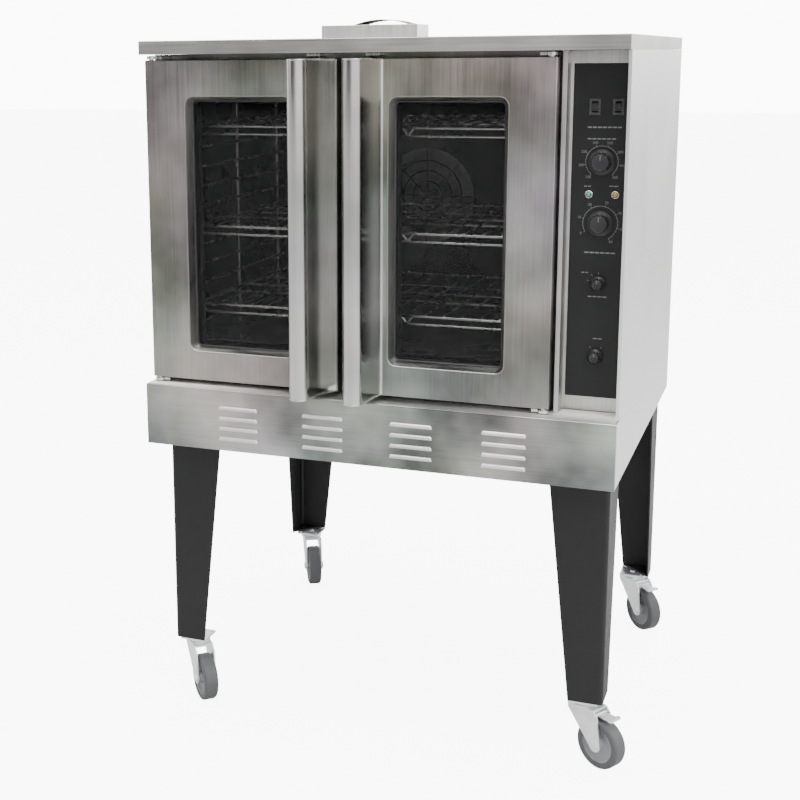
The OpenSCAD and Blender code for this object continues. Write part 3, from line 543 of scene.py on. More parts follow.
def ease_edges(shape, width, angle=38.0, segments=2, only=None):
    """Rounds the edges that are sharper than an angle"""
    limit = math.radians(angle)
    sharp = [e for e in shape.edges if len(e.link_faces) == 2 and e.calc_face_angle() > limit
             and (only is None or only(e))]
    if sharp:
        bmesh.ops.bevel(shape, geom=sharp, offset=width, offset_type="OFFSET", segments=segments,
                        profile=0.5, affect="EDGES", clamp_overlap=True, material=-1)


def eased_cad(name, node, body, material, width):
    """A CAD node with its edges rounded, in place of the node"""
    shape = cad_copy(node)
    ease_edges(shape, width)
    return finish_piece(name, shape, body, material, (node,))


def eased_on_cabinet(finish, *rows):
    """Eased CAD nodes that stay on the cabinet: (piece, node, slot, finish, edge in millimetres); the slot is
    not used
    """
    for name, node, slot, look, edge in rows:
        eased_cad(name, node, "cabinet", finish[look], edge * MM)


def front_view(node):
    """A node's middle and its size seen from the front, each as (x, z)"""
    low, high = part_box(node)
    return ((low.x + high.x) / 2, (low.z + high.z) / 2), (high.x - low.x, high.z - low.z)


def angles(step, count):
    """Angles from zero, a step in degrees apart"""
    return [math.radians(step * i) for i in range(count)]


def only_verts(geom):
    """The vertices among an operation's results"""
    return [g for g in geom if isinstance(g, bmesh.types.BMVert)]


def add_chain(shape, places):
    """Edges that join places in turn; returns the vertices and the edges"""
    points = [shape.verts.new(place) for place in places]
    return points, [shape.edges.new(pair) for pair in zip(points, points[1:])]


def draw_out(shape, edges, vector):
    """Draws edges out into a sheet along a vector; returns the far vertices and edges"""
    made = bmesh.ops.extrude_edge_only(shape, edges=edges)["geom"]
    verts = only_verts(made)
    bmesh.ops.translate(shape, vec=vector, verts=verts)
    return verts, [g for g in made if isinstance(g, bmesh.types.BMEdge) and all(v in verts for v in g.verts)]


def thicken_face(shape, verts, vector):
    """Fills an outline and draws it out into a plate along a vector"""
    made = bmesh.ops.extrude_face_region(shape, geom=[shape.faces.new(verts)])["geom"]
    bmesh.ops.translate(shape, vec=vector, verts=only_verts(made))


def merge_into(shape, part):
    """Adds a bmesh to another and frees it"""
    mesh = bpy.data.meshes.new("part")
    part.to_mesh(mesh)
    part.free()
    shape.from_mesh(mesh)
    bpy.data.meshes.remove(mesh)


def add_block(shape, low, high):
    """A block between two corners; returns its vertices"""
    low, high = Vector(low), Vector(high)
    centre = (low + high) / 2
    size = Matrix.Diagonal((*(high - low), 1.0))
    return bmesh.ops.create_cube(shape, size=1.0, matrix=Matrix.Translation(centre) @ size)["verts"]


def face_loop(shape, station, steps=6):
    """A loop of edges: an upright rectangle with round corners, at a station.
    A station is (middle x and z, width and height, corner radius, depth)"""
    (x, z), (width, height), radius, depth = station
    upright = Matrix.Translation((x, depth, z)) @ Matrix.Rotation(math.pi / 2, 4, "X")
    scale = Matrix.Diagonal((width, height, 1.0, 1.0))
    made = bmesh.ops.create_grid(shape, x_segments=1, y_segments=1, size=0.5, matrix=upright @ scale)
    rounded = bmesh.ops.bevel(shape, geom=made["verts"], offset=radius, offset_type="OFFSET",
                              segments=steps, profile=0.5, affect="VERTICES", clamp_overlap=True,
                              material=-1)
    faces = {f for v in rounded["verts"] for f in v.link_faces}
    edges = list({e for f in faces for e in f.edges})
    bmesh.ops.delete(shape, geom=list(faces), context="FACES_ONLY")
    return edges


def next_loop(shape, edges, here, there):
    """Draws a loop out to the next station, each corner's arc sliding and scaling as one"""
    made = bmesh.ops.extrude_edge_only(shape, edges=edges)["geom"]
    verts = set(only_verts(made))
    (x, z), (width, height), radius, _ = here
    (new_x, new_z), (new_width, new_height), new_radius, depth = there
    grow = new_radius / radius
    for vert in verts:
        side = 1 if vert.co.x > x else -1
        end = 1 if vert.co.z > z else -1
        across = vert.co.x - (x + side * (width / 2 - radius))
        up = vert.co.z - (z + end * (height / 2 - radius))
        vert.co = (new_x + side * (new_width / 2 - new_radius) + across * grow, depth,
                   new_z + end * (new_height / 2 - new_radius) + up * grow)
    return [g for g in made if isinstance(g, bmesh.types.BMEdge) and verts.issuperset(g.verts)]


def loft_frame(shape, stations, closed=True):
    """A skin through upright round-cornered loops in turn; returns its first and last loops"""
    first = last = face_loop(shape, stations[0])
    route = stations + stations[:1] if closed else stations
    for here, there in zip(route, route[1:]):
        last = next_loop(shape, last, here, there)
    if closed:
        bmesh.ops.remove_doubles(shape, verts=shape.verts, dist=1e-6)
    bmesh.ops.recalc_face_normals(shape, faces=shape.faces)
    return first, last


def around(middle, size, corner, steps):
    """Stations grown evenly from one opening; a step is (growth on every side, depth)"""
    return [(middle, (size[0] + 2 * grow, size[1] + 2 * grow), corner + grow, depth)
            for grow, depth in steps]


def face_forward(shape, way):
    """Turns an open sheet so that its largest face looks along +y or -y"""
    if max(shape.faces, key=lambda f: f.calc_area()).normal.y * way < 0:
        bmesh.ops.reverse_faces(shape, faces=shape.faces)


def lathe(shape, profile, origin, axis, steps=48):
    """Spins a profile of (radius, distance along the axis) into a closed round piece"""
    axis = Vector(axis).normalized()
    out = axis.orthogonal().normalized()
    points, edges = add_chain(shape, [Vector(origin) + out * r + axis * h for r, h in profile])
    bmesh.ops.spin(shape, geom=points + edges, cent=origin, axis=axis, angle=2 * math.pi,
                   steps=steps, use_merge=True, use_duplicate=False)
    bmesh.ops.remove_doubles(shape, verts=shape.verts, dist=1e-6)


def rounded_path(points, radius, steps=5):
    """A path whose inner corners are turned into arcs"""
    path = [Vector(points[0])]
    for before, here, after in zip(points, points[1:], points[2:]):
        before, here, after = Vector(before), Vector(here), Vector(after)
        back = min(radius, (before - here).length / 2, (after - here).length / 2)
        start = here + (before - here).normalized() * back
        end = here + (after - here).normalized() * back
        path += interpolate_bezier(start, start.lerp(here, 0.6), end.lerp(here, 0.6), end, steps)
    path.append(Vector(points[-1]))
    return path


def add_wires(shape, paths, radius, closed=False, resolution=2):
    """Round wires along paths, added to a bmesh"""
    curve = bpy.data.curves.new("wire", "CURVE")
    curve.dimensions = "3D"
    curve.bevel_depth = radius
    curve.bevel_resolution = resolution
    curve.use_fill_caps = not closed
    for path in paths:
        spline = curve.splines.new("POLY")
        spline.points.add(len(path) - 1)
        for point, place in zip(spline.points, path):
            point.co = (*place, 1.0)
        spline.use_cyclic_u = closed
    holder = bpy.data.objects.new("wire", curve)
    mesh = bpy.data.meshes.new_from_object(holder)
    shape.from_mesh(mesh)
    bpy.data.objects.remove(holder)
    bpy.data.curves.remove(curve)
    bpy.data.meshes.remove(mesh)


def pair_middle():
    """The upright line between the two doors"""
    return (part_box("left_door_shell")[0].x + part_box("right_door_shell")[1].x) / 2


# ---------------------------------------------------------------- cabinet

def build_lid(finish):
    """The lid: soft round its top, crisp along its folded lower edges"""
    shape = cad_copy("lid")
    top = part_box("lid")[1].z - 0.1 * MM
    ease_edges(shape, 3.2 * MM, segments=4, only=lambda e: all(v.co.z > top for v in e.verts))
    ease_edges(shape, 0.4 * MM, angle=60.0)
    finish_piece("lid_sheet", shape, "cabinet", finish["lid"], ("lid",))


def build_panels(finish):
    """The cabinet's plain folded sheets"""
    eased_on_cabinet(
        finish,
        ("side_sheets", "side_panels", "side_stainless", "side", 0.5),
        ("rear_sheet", "back_panel", "galvanised", "galvanised", 0.4),
        ("bottom_pan", "base_pan", "galvanised", "galvanised", 0.4),
        ("door_opening_frame", "face_frame", "stainless", "steel_tall", 0.4),
        ("bay_surround", "control_surround", "stainless", "bay", 0.6),
        ("bay_partition", "compartment_wall", "galvanised", "galvanised", 0.4))


LOUVRE_COLUMNS = 4
LOUVRE_ROWS = 4
LOUVRE_PITCH = 183 * MM
LOUVRE_WIDTH = 88 * MM
LOUVRE_RISE = 21.5 * MM
LOUVRE_TOP = 41 * MM
LOUVRE_OPEN = 4 * MM
LOUVRE_PROUD = 5.2 * MM
SKIRT_SHEET = 1.5 * MM
SKIRT_FOLD = 3 * MM
SKIRT_RETURN = 9.6 * MM


def louvre_places():
    """Middle x and lower lip z of every louvre"""
    (middle, _), _ = front_view("skirt")
    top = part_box("skirt")[1].z - LOUVRE_TOP
    return [(middle + (column - (LOUVRE_COLUMNS - 1) / 2) * LOUVRE_PITCH, top - row * LOUVRE_RISE)
            for row in range(LOUVRE_ROWS) for column in range(LOUVRE_COLUMNS)]


def cut_slots(shape, front):
    """Cuts an open slot in the skirt's face behind every louvre"""
    half = LOUVRE_WIDTH / 2 - 3 * MM
    places = louvre_places()
    ends = sorted({x + side * half for x, _ in places for side in (-1, 1)})
    rims = sorted({z + rise for _, z in places for rise in (0, LOUVRE_OPEN)})
    cuts = [((x, 0, 0), (1, 0, 0)) for x in ends] + [((0, 0, z), (0, 0, 1)) for z in rims]
    for place, across in cuts:
        bmesh.ops.bisect_plane(shape, geom=shape.verts[:] + shape.edges[:] + shape.faces[:],
                               plane_co=place, plane_no=across)
    slots = []
    for face in shape.faces:
        middle = face.calc_center_median()
        if middle.y < front + 0.1 * MM and any(
                abs(middle.x - x) < half and z < middle.z < z + LOUVRE_OPEN for x, z in places):
            slots.append(face)
    bmesh.ops.delete(shape, geom=slots, context="FACES")


def add_hood(shape, x, front, z):
    """One pressed louvre: a bulge that closes round its top and ends and opens at its lower lip"""
    steps = 6
    proud = LOUVRE_PROUD
    reach = LOUVRE_WIDTH / 2 - proud
    before = set(shape.faces)
    profile = [(x - reach, front - proud * math.cos(a) * 0.86, z + 1.35 * proud * math.sin(a))
               for a in angles(90 / steps, steps + 1)]
    points, edges = add_chain(shape, profile)
    for side in (-1, 1):
        if side == 1:
            points, edges = draw_out(shape, edges, (2 * reach, 0, 0))
        bmesh.ops.spin(shape, geom=points + edges, cent=(x + side * reach, front, z), axis=(0, 0, 1),
                       angle=side * math.pi / 2, steps=steps, use_merge=False, use_duplicate=False)
    bmesh.ops.remove_doubles(shape, verts=shape.verts, dist=1e-5)
    fresh = [f for f in shape.faces if f not in before]
    bmesh.ops.recalc_face_normals(shape, faces=fresh)
    if sum(f.normal.y * f.calc_area() for f in fresh) > 0:
        bmesh.ops.reverse_faces(shape, faces=fresh)


def build_skirt(finish):
    """The folded lower panel: slots cut in its face, a pressed hood over each, and a ledge on top"""
    low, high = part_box("skirt")
    front = low.y + LOUVRE_PROUD - 0.2 * MM
    shape = bmesh.new()
    fold = [(low.x, front + SKIRT_FOLD * (1 - math.sin(a)), high.z - SKIRT_FOLD * (1 - math.cos(a)))
            for a in angles(18, 6)[::-1]]
    edges = add_chain(shape, [(low.x, front, low.z)] + fold + [(low.x, high.y, high.z)])[1]
    draw_out(shape, edges, (high.x - low.x, 0, 0))
    cut_slots(shape, front)
    bmesh.ops.recalc_face_normals(shape, faces=shape.faces)
    face_forward(shape, -1)
    bmesh.ops.solidify(shape, geom=shape.faces[:], thickness=SKIRT_SHEET)
    for x in (low.x, high.x - SKIRT_SHEET):
        add_block(shape, (x, front + SKIRT_SHEET, low.z),
                  (x + SKIRT_SHEET, front + SKIRT_RETURN, high.z - SKIRT_SHEET))
    finish_piece("skirt_sheet", shape, "cabinet", finish["steel_wide"], ("skirt",))

    shape = bmesh.new()
    add_block(shape, (low.x + SKIRT_FOLD, front + SKIRT_FOLD, high.z + 0.1 * MM),
              (high.x - SKIRT_FOLD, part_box("face_frame")[0].y - 1 * MM, high.z + 0.7 * MM))
    ease_edges(shape, 0.2 * MM)
    # Painted highlight: the ledge's finish is the stainless made far lighter where its top faces the light
    finish_piece("skirt_ledge", shape, "cabinet", finish["ledge"])

    shape = bmesh.new()
    for x, z in louvre_places():
        add_hood(shape, x, front, z)
    # Painted highlight: the hoods' finish is the stainless made much lighter, for their lit tops
    finish_piece("skirt_louvres", shape, "cabinet", finish["louvre"])


# ---------------------------------------------------------------- doors

WINDOW_CORNER = 9 * MM
GLASS_DEPTH = 21.6 * MM
PANE = 4 * MM
PANE_COVER = 6 * MM


def round_window(side, sizes, steps):
    """Stations round a door's window; a step is (growth from the sight opening, depth)"""
    middle, (width, height) = front_view(side + "_window_trim")
    return around(middle, (width - 2 * sizes.lip, height - 2 * sizes.lip), WINDOW_CORNER, steps)


def build_door_skin(side, finish, sizes):
    """A door's skin: from its rear rim, round the folded edge, across the face to the window"""
    low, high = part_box(side + "_door_shell")
    centre, (width, height) = front_view(side + "_door_shell")
    edge = 2 * sizes.edge
    corner = 2.5 * MM
    fold = [(centre, (width, height), corner, high.y)]
    for a in angles(22.5, 5):
        inset = edge * (1 - math.cos(a))
        fold.append((centre, (width - 2 * inset, height - 2 * inset), corner,
                     low.y + edge * (1 - math.sin(a))))
    hole = round_window(side, sizes, ((sizes.lip + 0.2 * MM, low.y),
                                      (sizes.lip + 0.1 * MM, low.y + 1.2 * MM)))
    shape = bmesh.new()
    loft_frame(shape, fold + hole, closed=False)
    face_forward(shape, -1)
    finish_piece(side + "_door_skin", shape, side + "_door", finish["steel_tall"],
                 (side + "_door_shell",))


def build_window_frame(side, finish, sizes):
    """A rolled edge at the door's face and a slope that runs in to the glass, then a black retainer"""
    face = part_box(side + "_door_shell")[0].y
    lip = sizes.lip
    rolled = [(lip, 2 * MM), (lip, -0.1 * MM), (lip - 0.3 * MM, -0.5 * MM), (lip - 0.9 * MM, -0.7 * MM),
              (lip - 1.7 * MM, -0.6 * MM), (lip - 2.4 * MM, 0.1 * MM), (lip - 3.0 * MM, 1.2 * MM)]
    slope = [(lip * 0.60, 4.5 * MM), (lip * 0.42, 9 * MM), (lip * 0.26, 14 * MM), (lip * 0.12, 18 * MM),
             (0.2 * MM, 20.6 * MM), (0.2 * MM, GLASS_DEPTH), (lip, GLASS_DEPTH)]
    shape = bmesh.new()
    loft_frame(shape, round_window(side, sizes, [(grow, face + deep) for grow, deep in rolled + slope]))
    finish_piece(side + "_window_lip", shape, side + "_door", finish["trim"],
                 (side + "_window_trim",))

    retainer = [(1.0 * MM, 17.6 * MM), (-0.6 * MM, 18.2 * MM), (-1.6 * MM, 19.4 * MM),
                (-2.2 * MM, GLASS_DEPTH), (0.1 * MM, GLASS_DEPTH)]
    shape = bmesh.new()
    loft_frame(shape, round_window(side, sizes, [(grow, face + deep) for grow, deep in retainer]))
    finish_piece(side + "_glass_retainer", shape, side + "_door", finish["knob"])


def build_panes(side, finish, sizes):
    """Two panes with eased edges, and the spacer that holds them apart"""
    low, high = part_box(side + "_glass")
    eased = PANE_COVER - 0.6 * MM
    shape = bmesh.new()
    for near in (low.y, high.y - PANE):
        far = near + PANE
        pane = bmesh.new()
        loops = loft_frame(pane, round_window(side, sizes, [
            (eased, near), (PANE_COVER, near + 0.6 * MM), (PANE_COVER, far - 0.6 * MM), (eased, far)]),
            closed=False)
        for loop in loops:
            bmesh.ops.edgeloop_fill(pane, edges=loop)
        bmesh.ops.recalc_face_normals(pane, faces=pane.faces)
        merge_into(shape, pane)
    finish_piece(side + "_panes", shape, side + "_door", finish["glass"], (side + "_glass",))

    near, far = low.y + PANE + 0.3 * MM, high.y - PANE - 0.3 * MM
    shape = bmesh.new()
    loft_frame(shape, round_window(side, sizes, (
        (PANE_COVER, near), (0.5 * MM, near), (0.5 * MM, far), (PANE_COVER, far))))
    finish_piece(side + "_pane_spacer", shape, side + "_door", finish["knob"])


def build_door_inner(side, finish, sizes):
    """A door's inner liner: a shallow pan with a pressed rib round the glass"""
    low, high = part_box(side + "_door_liner")
    back = high.y
    rim = around(*front_view(side + "_door_liner"), 3.6 * MM, (
        (0, low.y), (0, back - 3 * MM), (-0.9 * MM, back - 0.9 * MM), (-3 * MM, back)))
    rib = round_window(side, sizes, (
        (26 * MM, back), (24 * MM, back - 1.6 * MM), (14 * MM, back - 1.6 * MM), (12 * MM, back),
        (-3 * MM, back), (-4.6 * MM, back - 0.6 * MM), (-5.4 * MM, back - 4 * MM)))
    shape = bmesh.new()
    loft_frame(shape, rim + rib, closed=False)
    face_forward(shape, 1)
    finish_piece(side + "_door_inner", shape, side + "_door", finish["enamel_grey"],
                 (side + "_door_liner",))


def build_doors(finish, sizes):
    """Both doors, each in its own pieces"""
    for side in SIDES:
        build_door_skin(side, finish, sizes)
        build_window_frame(side, finish, sizes)
        build_panes(side, finish, sizes)
        build_door_inner(side, finish, sizes)


HANDLE_NOSE = 19.5 * MM
HANDLE_MIDDLE = 55 * MM


def handle_section(reach, spread):
    """A handle's outline for the right door: across from the gap's middle, and out from the face"""
    out = reach - HANDLE_NOSE
    left, right = HANDLE_MIDDLE - HANDLE_NOSE, HANDLE_MIDDLE + HANDLE_NOSE

    def at(across, outward):
        return Vector((across, outward, 0))

    inner = interpolate_bezier(at(8 * MM, 0), at(30 * MM - spread, 12 * MM + spread),
                               at(left, 38 * MM + spread), at(left, out), 18)
    round_nose = [at(HANDLE_MIDDLE - HANDLE_NOSE * math.cos(a), out + HANDLE_NOSE * math.sin(a))
                  for a in angles(10, 18)[1:]]
    outer = interpolate_bezier(at(right, out), at(right + 2 * MM, 44 * MM + spread),
                               at(right + 2 * MM + spread, 8 * MM + spread), at(88 * MM, 0), 18)
    return inner + round_nose + outer


def build_handle(side, finish, sizes):
    """A full-height formed channel with a spreading plate at each end"""
    low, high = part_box(side + "_handle")
    face = high.y
    reach = face - low.y
    gap = pair_middle()
    sign = 1 if side == "right" else -1
    plate = 3 * MM

    def outline(z, spread):
        return [(gap + sign * point.x, face - point.y, z) for point in handle_section(reach, spread)]

    shape = bmesh.new()
    edges = add_chain(shape, outline(low.z + plate, 0.0))[1]
    draw_out(shape, edges, (0, 0, high.z - low.z - 2 * plate))
    bmesh.ops.recalc_face_normals(shape, faces=shape.faces)
    nose = min(shape.faces, key=lambda f: f.calc_center_median().y)
    if nose.normal.y > 0:
        bmesh.ops.reverse_faces(shape, faces=shape.faces)
    bmesh.ops.solidify(shape, geom=shape.faces[:], thickness=sizes.handle_wall)
    finish_piece(side + "_handle_bar", shape, side + "_door", finish["handle"],
                 (side + "_handle",))

    shape = bmesh.new()
    for z in (low.z, high.z - plate):
        thicken_face(shape, [shape.verts.new(place) for place in outline(z, 6 * MM)], (0, 0, plate))
    bmesh.ops.recalc_face_normals(shape, faces=shape.faces)
    ease_edges(shape, 0.7 * MM, angle=60.0)
    finish_piece(side + "_handle_ends", shape, side + "_door", finish["bright"])


def build_handles(finish, sizes):
    """Both handles, one the other's mirror image"""
    for side in SIDES:
        build_handle(side, finish, sizes)


def build_door_hardware(finish):
    """Hinge plates, roller catches, pins, and the soft tube that seals the doors to the frame"""
    eased_on_cabinet(
        finish,
        ("hinge_plates", "hinge_brackets", "bright_steel", "bright", 0.7),
        ("roller_catches", "door_catches", "bright_steel", "bright", 0.5))
    for side in SIDES:
        eased_cad(side + "_pins", side + "_hinge_pins", side + "_door", finish["bright"],
                  0.6 * MM)
    low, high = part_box("door_gasket")
    centre, (width, height) = front_view("door_gasket")
    inset = 13 * MM
    deep, wide = (high.y - low.y) / 2, 6 * MM
    middle = (high.y + low.y) / 2
    shape = bmesh.new()
    loft_frame(shape, around(centre, (width - inset, height - inset), 12 * MM, [
        (wide * math.cos(a), middle + deep * math.sin(a)) for a in angles(36, 10)]))
    finish_piece("mouth_seal", shape, "cabinet", finish["seal"], ("door_gasket",))


# ---------------------------------------------------------------- controls

def fascia_face():
    """Depth of the control fascia's face"""
    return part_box("control_fascia")[0].y


def build_knob(name, node, body, finish, flutes):
    """A moulded knob: a skirt, a fluted grip with a dished cap, and a pale pointer line"""
    (x, z), (width, _) = front_view(node)
    front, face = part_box(node)[0].y, fascia_face()
    radius, tall = width / 2, face - front
    grip = radius * 0.70
    origin = Vector((x, face, z))
    skirt = [(0.001 * MM, 2.6 * MM), (radius - 1.2 * MM, 2.6 * MM), (radius, 3.4 * MM),
             (radius - 0.5 * MM, 4.8 * MM), (grip + 2.2 * MM, 6.6 * MM), (grip + 0.6 * MM, 8.2 * MM)]
    cap = [(grip + 0.6 * MM, 8.2 * MM), (grip, 9.2 * MM), (grip - 0.5 * MM, tall - 2.4 * MM),
           (grip - 1.1 * MM, tall - 0.9 * MM), (grip - 2.4 * MM, tall),
           (grip - 3.6 * MM, tall - 0.7 * MM), (0.001 * MM, tall - 1.0 * MM)]
    shape = bmesh.new()
    lathe(shape, skirt, origin, (0, -1, 0), 64)
    lathe(shape, cap, origin, (0, -1, 0), 8 * flutes)
    for vert in shape.verts:
        out = vert.co - origin
        high = -out.y
        out.y = 0
        if 9 * MM < high < tall - 0.5 * MM and out.length > grip - 2.6 * MM:
            dip = 1.0 * MM * max(0.0, math.cos(flutes * math.atan2(out.z, out.x))) ** 2
            vert.co -= out.normalized() * dip
    finish_piece(name, shape, body, finish["knob"], (node,), angle=40.0)

    shape = bmesh.new()
    add_block(shape, (x - 0.7 * MM, front + 0.2 * MM, z + grip * 0.25),
              (x + 0.7 * MM, front + 1.2 * MM, z + grip - 2.6 * MM))
    add_block(shape, (x - 0.6 * MM, face - 4.9 * MM, z + grip + 1.0 * MM),
              (x + 0.6 * MM, face - 3.4 * MM, z + radius - 0.6 * MM))
    ease_edges(shape, 0.15 * MM)
    finish_piece(name + "_pointer", shape, body, finish["print"])


PRINT = 0.05 * MM


def add_arc(shape, centre, face, radius, start, end, width):
    """A printed arc on the fascia, from one angle to another, clockwise from the top"""
    steps = max(6, int(abs(end - start) / 5))
    rims = []
    for r in (radius - width / 2, radius + width / 2):
        turns = (math.radians(start + (end - start) * i / steps) for i in range(steps + 1))
        rims += add_chain(shape, [(centre[0] + r * math.sin(a), face, centre[1] + r * math.cos(a))
                                  for a in turns])[1]
    bmesh.ops.bridge_loops(shape, edges=rims)


def add_tick(shape, centre, face, angle, near, far, width):
    """A printed line pointing away from a control's middle"""
    verts = add_block(shape, (-width / 2, face - PRINT, near), (width / 2, face + PRINT, far))
    bmesh.ops.transform(shape, matrix=Matrix.Translation((centre[0], 0, centre[1]))
                        @ Matrix.Rotation(math.radians(angle), 4, "Y"), verts=verts)


def add_number(shape, words, x, z, face, height):
    """A dial number, centred, printed on the fascia"""
    text = bpy.data.curves.new("number", "FONT")
    text.body = words
    text.size = height
    text.align_x = "CENTER"
    text.align_y = "CENTER"
    text.extrude = PRINT
    holder = bpy.data.objects.new("number", text)
    mesh = bpy.data.meshes.new_from_object(holder)
    mesh.transform(Matrix.Translation((x, face, z)) @ Matrix.Rotation(math.pi / 2, 4, "X"))
    shape.from_mesh(mesh)
    bpy.data.objects.remove(holder)
    bpy.data.curves.remove(text)
    bpy.data.meshes.remove(mesh)


# Plain printed bars: distance from the fascia's left edge and foot to the middle, width and height
FASCIA_BARS = tuple(tuple(value * MM for value in bar) for bar in (
    (59, 507, 63, 2.6), (54, 486, 53, 2.2), (31, 399, 14, 1.8), (79, 400, 18, 1.8), (57, 276, 58, 2.8),
    (31, 238, 14, 1.8), (55, 193, 36, 2.4), (58, 113, 18, 2.0)))
WORD_LENGTH = 9 * MM
WORD_GAP = 1.6 * MM
DIAL_TICKS = 4


def add_dial(shape, control, radius, values, start, end, face, line):
    """A large dial's arc, its long and short ticks, and a number at each long tick"""
    (x, z), _ = front_view(control + "_knob")
    numbers = [str(value) for value in values]
    arc = radius - 4.2 * MM
    add_arc(shape, (x, z), face, arc, start, end, line)
    count = DIAL_TICKS * (len(numbers) - 1)
    for i in range(count + 1):
        angle = start + (end - start) * i / count
        long = i % DIAL_TICKS == 0
        add_tick(shape, (x, z), face, angle, arc, radius - (1.0 if long else 2.4) * MM,
                 line if long else 0.6 * line)
        if long:
            a = math.radians(angle)
            add_number(shape, numbers[i // DIAL_TICKS], x + (radius + 4.4 * MM) * math.sin(a),
                       z + (radius + 3.2 * MM) * math.cos(a), face, 7.0 * MM)


def build_marks(finish, sizes):
    """Ticks, arcs, dial numbers and plain bars printed on the fascia"""
    face = fascia_face() - 0.08 * MM
    line = sizes.mark
    shape = bmesh.new()
    add_dial(shape, "thermostat", 33.5 * MM, range(150, 501, 50), -140, 140, face, line)
    add_dial(shape, "timer", 36 * MM, range(0, 61, 10), -120, 150, face, line)
    for node, turns in (("mode_knob", (-75, -38, 0)), ("fan_speed_knob", (-30, 30))):
        centre, (width, _) = front_view(node)
        for angle in turns:
            add_tick(shape, centre, face, angle, width / 2 + 2 * MM, width / 2 + 7 * MM, line)
    # Plain bars stand where a panel of this kind has its words
    left, _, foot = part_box("control_fascia")[0]
    for across, up, wide, tall in FASCIA_BARS:
        pieces = max(2, round(wide / WORD_LENGTH))
        step = wide / pieces
        for i in range(pieces):
            start = left + across - wide / 2 + i * step
            add_block(shape, (start, face - PRINT, foot + up - tall / 2),
                      (start + step - WORD_GAP, face + PRINT, foot + up + tall / 2))
    bmesh.ops.recalc_face_normals(shape, faces=shape.faces)
    finish_piece("fascia_marks", shape, "cabinet", finish["print"])


def build_lamp(name, x, z, radius, lens, replaced, finish):
    """A signal lamp: a domed lens in a bright bezel ring"""
    place = (x, fascia_face(), z)
    dome = [(radius * math.cos(a), 1 * MM + (radius - 0.2 * MM) * math.sin(a)) for a in angles(15, 6)]
    shape = bmesh.new()
    lathe(shape, [(radius, -1.5 * MM)] + dome + [(0.001 * MM, 0.8 * MM + radius)], place, (0, -1, 0), 32)
    finish_piece(name, shape, "cabinet", lens, replaced)

    ring = [(radius + out * MM, up * MM) for out, up in (
        (0.3, 0.1), (2.2, 0.1), (2.0, 1.0), (1.0, 1.6), (0.3, 1.2), (0.3, 0.1))]
    shape = bmesh.new()
    lathe(shape, ring, place, (0, -1, 0), 32)
    finish_piece(name + "_bezel", shape, "cabinet", finish["bright"])


def build_controls(finish, sizes):
    """The fascia with its knobs, switches, marks and lamps"""
    eased_on_cabinet(
        finish,
        ("fascia_plate", "control_fascia", "fascia_black", "fascia", 0.5),
        ("switch_bodies", "control_bodies", "switch_plastic", "plastic", 0.4))
    for control, flutes in (("thermostat", 12), ("timer", 12), ("mode", 9), ("fan_speed", 9)):
        build_knob(control + "_grip", control + "_knob", control + "_dial", finish, flutes)
    for control in ("power", "light"):
        eased_cad(control + "_rocker_cap", control + "_rocker", control + "_switch",
                  finish["knob"], 0.5 * MM)
    build_marks(finish, sizes)
    low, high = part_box("indicator_lamps")
    radius = (high.z - low.z) / 2
    middle = (low.z + high.z) / 2
    build_lamp("green_lamp", low.x + radius, middle, radius, finish["green"], (), finish)
    build_lamp("amber_lamp", high.x - radius, middle, radius, finish["amber"], ("indicator_lamps",), finish)


# ---------------------------------------------------------------- chamber

RACK_WIRES = 19
RACK_BAR_INSET = 165 * MM
RACK_CORNER = 10 * MM
STOP_REACH = 112 * MM
STOP_HALF = 13 * MM


def closed_path(points, radius, steps=6):
    """A closed path whose corners are turned into arcs"""
    path = []
    for before, here, after in zip(points[-1:] + points[:-1], points, points[1:] + points[:1]):
        start = here + (before - here).normalized() * radius
        end = here + (after - here).normalized() * radius
        path += interpolate_bezier(start, start.lerp(here, 0.55), end.lerp(here, 0.55), end, steps)
    return path


def build_rack(node, body, finish, sizes):
    """A wire rack: a round-cornered rim, floor wires, cross bars and a deep front edge with V stops"""
    low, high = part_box(node)
    rim = sizes.wire / 2
    level = high.z - 2 * rim - 0.6 * MM
    lower = low.z + 2.8 * MM
    left, right = low.x + rim, high.x - rim
    front, back = low.y + rim, high.y - rim
    middle = (left + right) / 2
    reach = (right - left) / 2 - 16 * MM
    shape = bmesh.new()
    corners = [Vector(corner) for corner in (
        (left, front, level), (right, front, level), (right, back, level), (left, back, level))]
    add_wires(shape, [closed_path(corners, RACK_CORNER)], rim, closed=True, resolution=3)
    floor = [[(middle + (i - (RACK_WIRES - 1) / 2) * 2 * reach / (RACK_WIRES - 1), y, level + rim + 0.4 * MM)
              for y in (front + 2 * MM, back - 2 * MM)] for i in range(RACK_WIRES)]
    add_wires(shape, floor, 1.8 * MM)
    bars = [[(x, y, level - 0.4 * MM) for x in (left, right)]
            for y in (front + RACK_BAR_INSET, (front + back) / 2, back - RACK_BAR_INSET)]
    add_wires(shape, bars, 2.4 * MM)
    side = reach - 4 * MM
    lip = front + 1 * MM
    add_wires(shape, [rounded_path([(middle - side, lip, level), (middle - side, lip, lower),
                                    (middle + side, lip, lower), (middle + side, lip, level)],
                                   8 * MM)], 2.6 * MM)
    ahead = front - 0.5 * MM
    stops = [rounded_path([(x - STOP_HALF, ahead, level + 1 * MM), (x, ahead, lower + 1 * MM),
                           (x + STOP_HALF, ahead, level + 1 * MM)], 4 * MM)
             for x in (middle - STOP_REACH, middle + STOP_REACH)]
    add_wires(shape, stops, 2.2 * MM)
    finish_piece(node + "_wires", shape, body, finish["chrome"], (node,), angle=50.0)


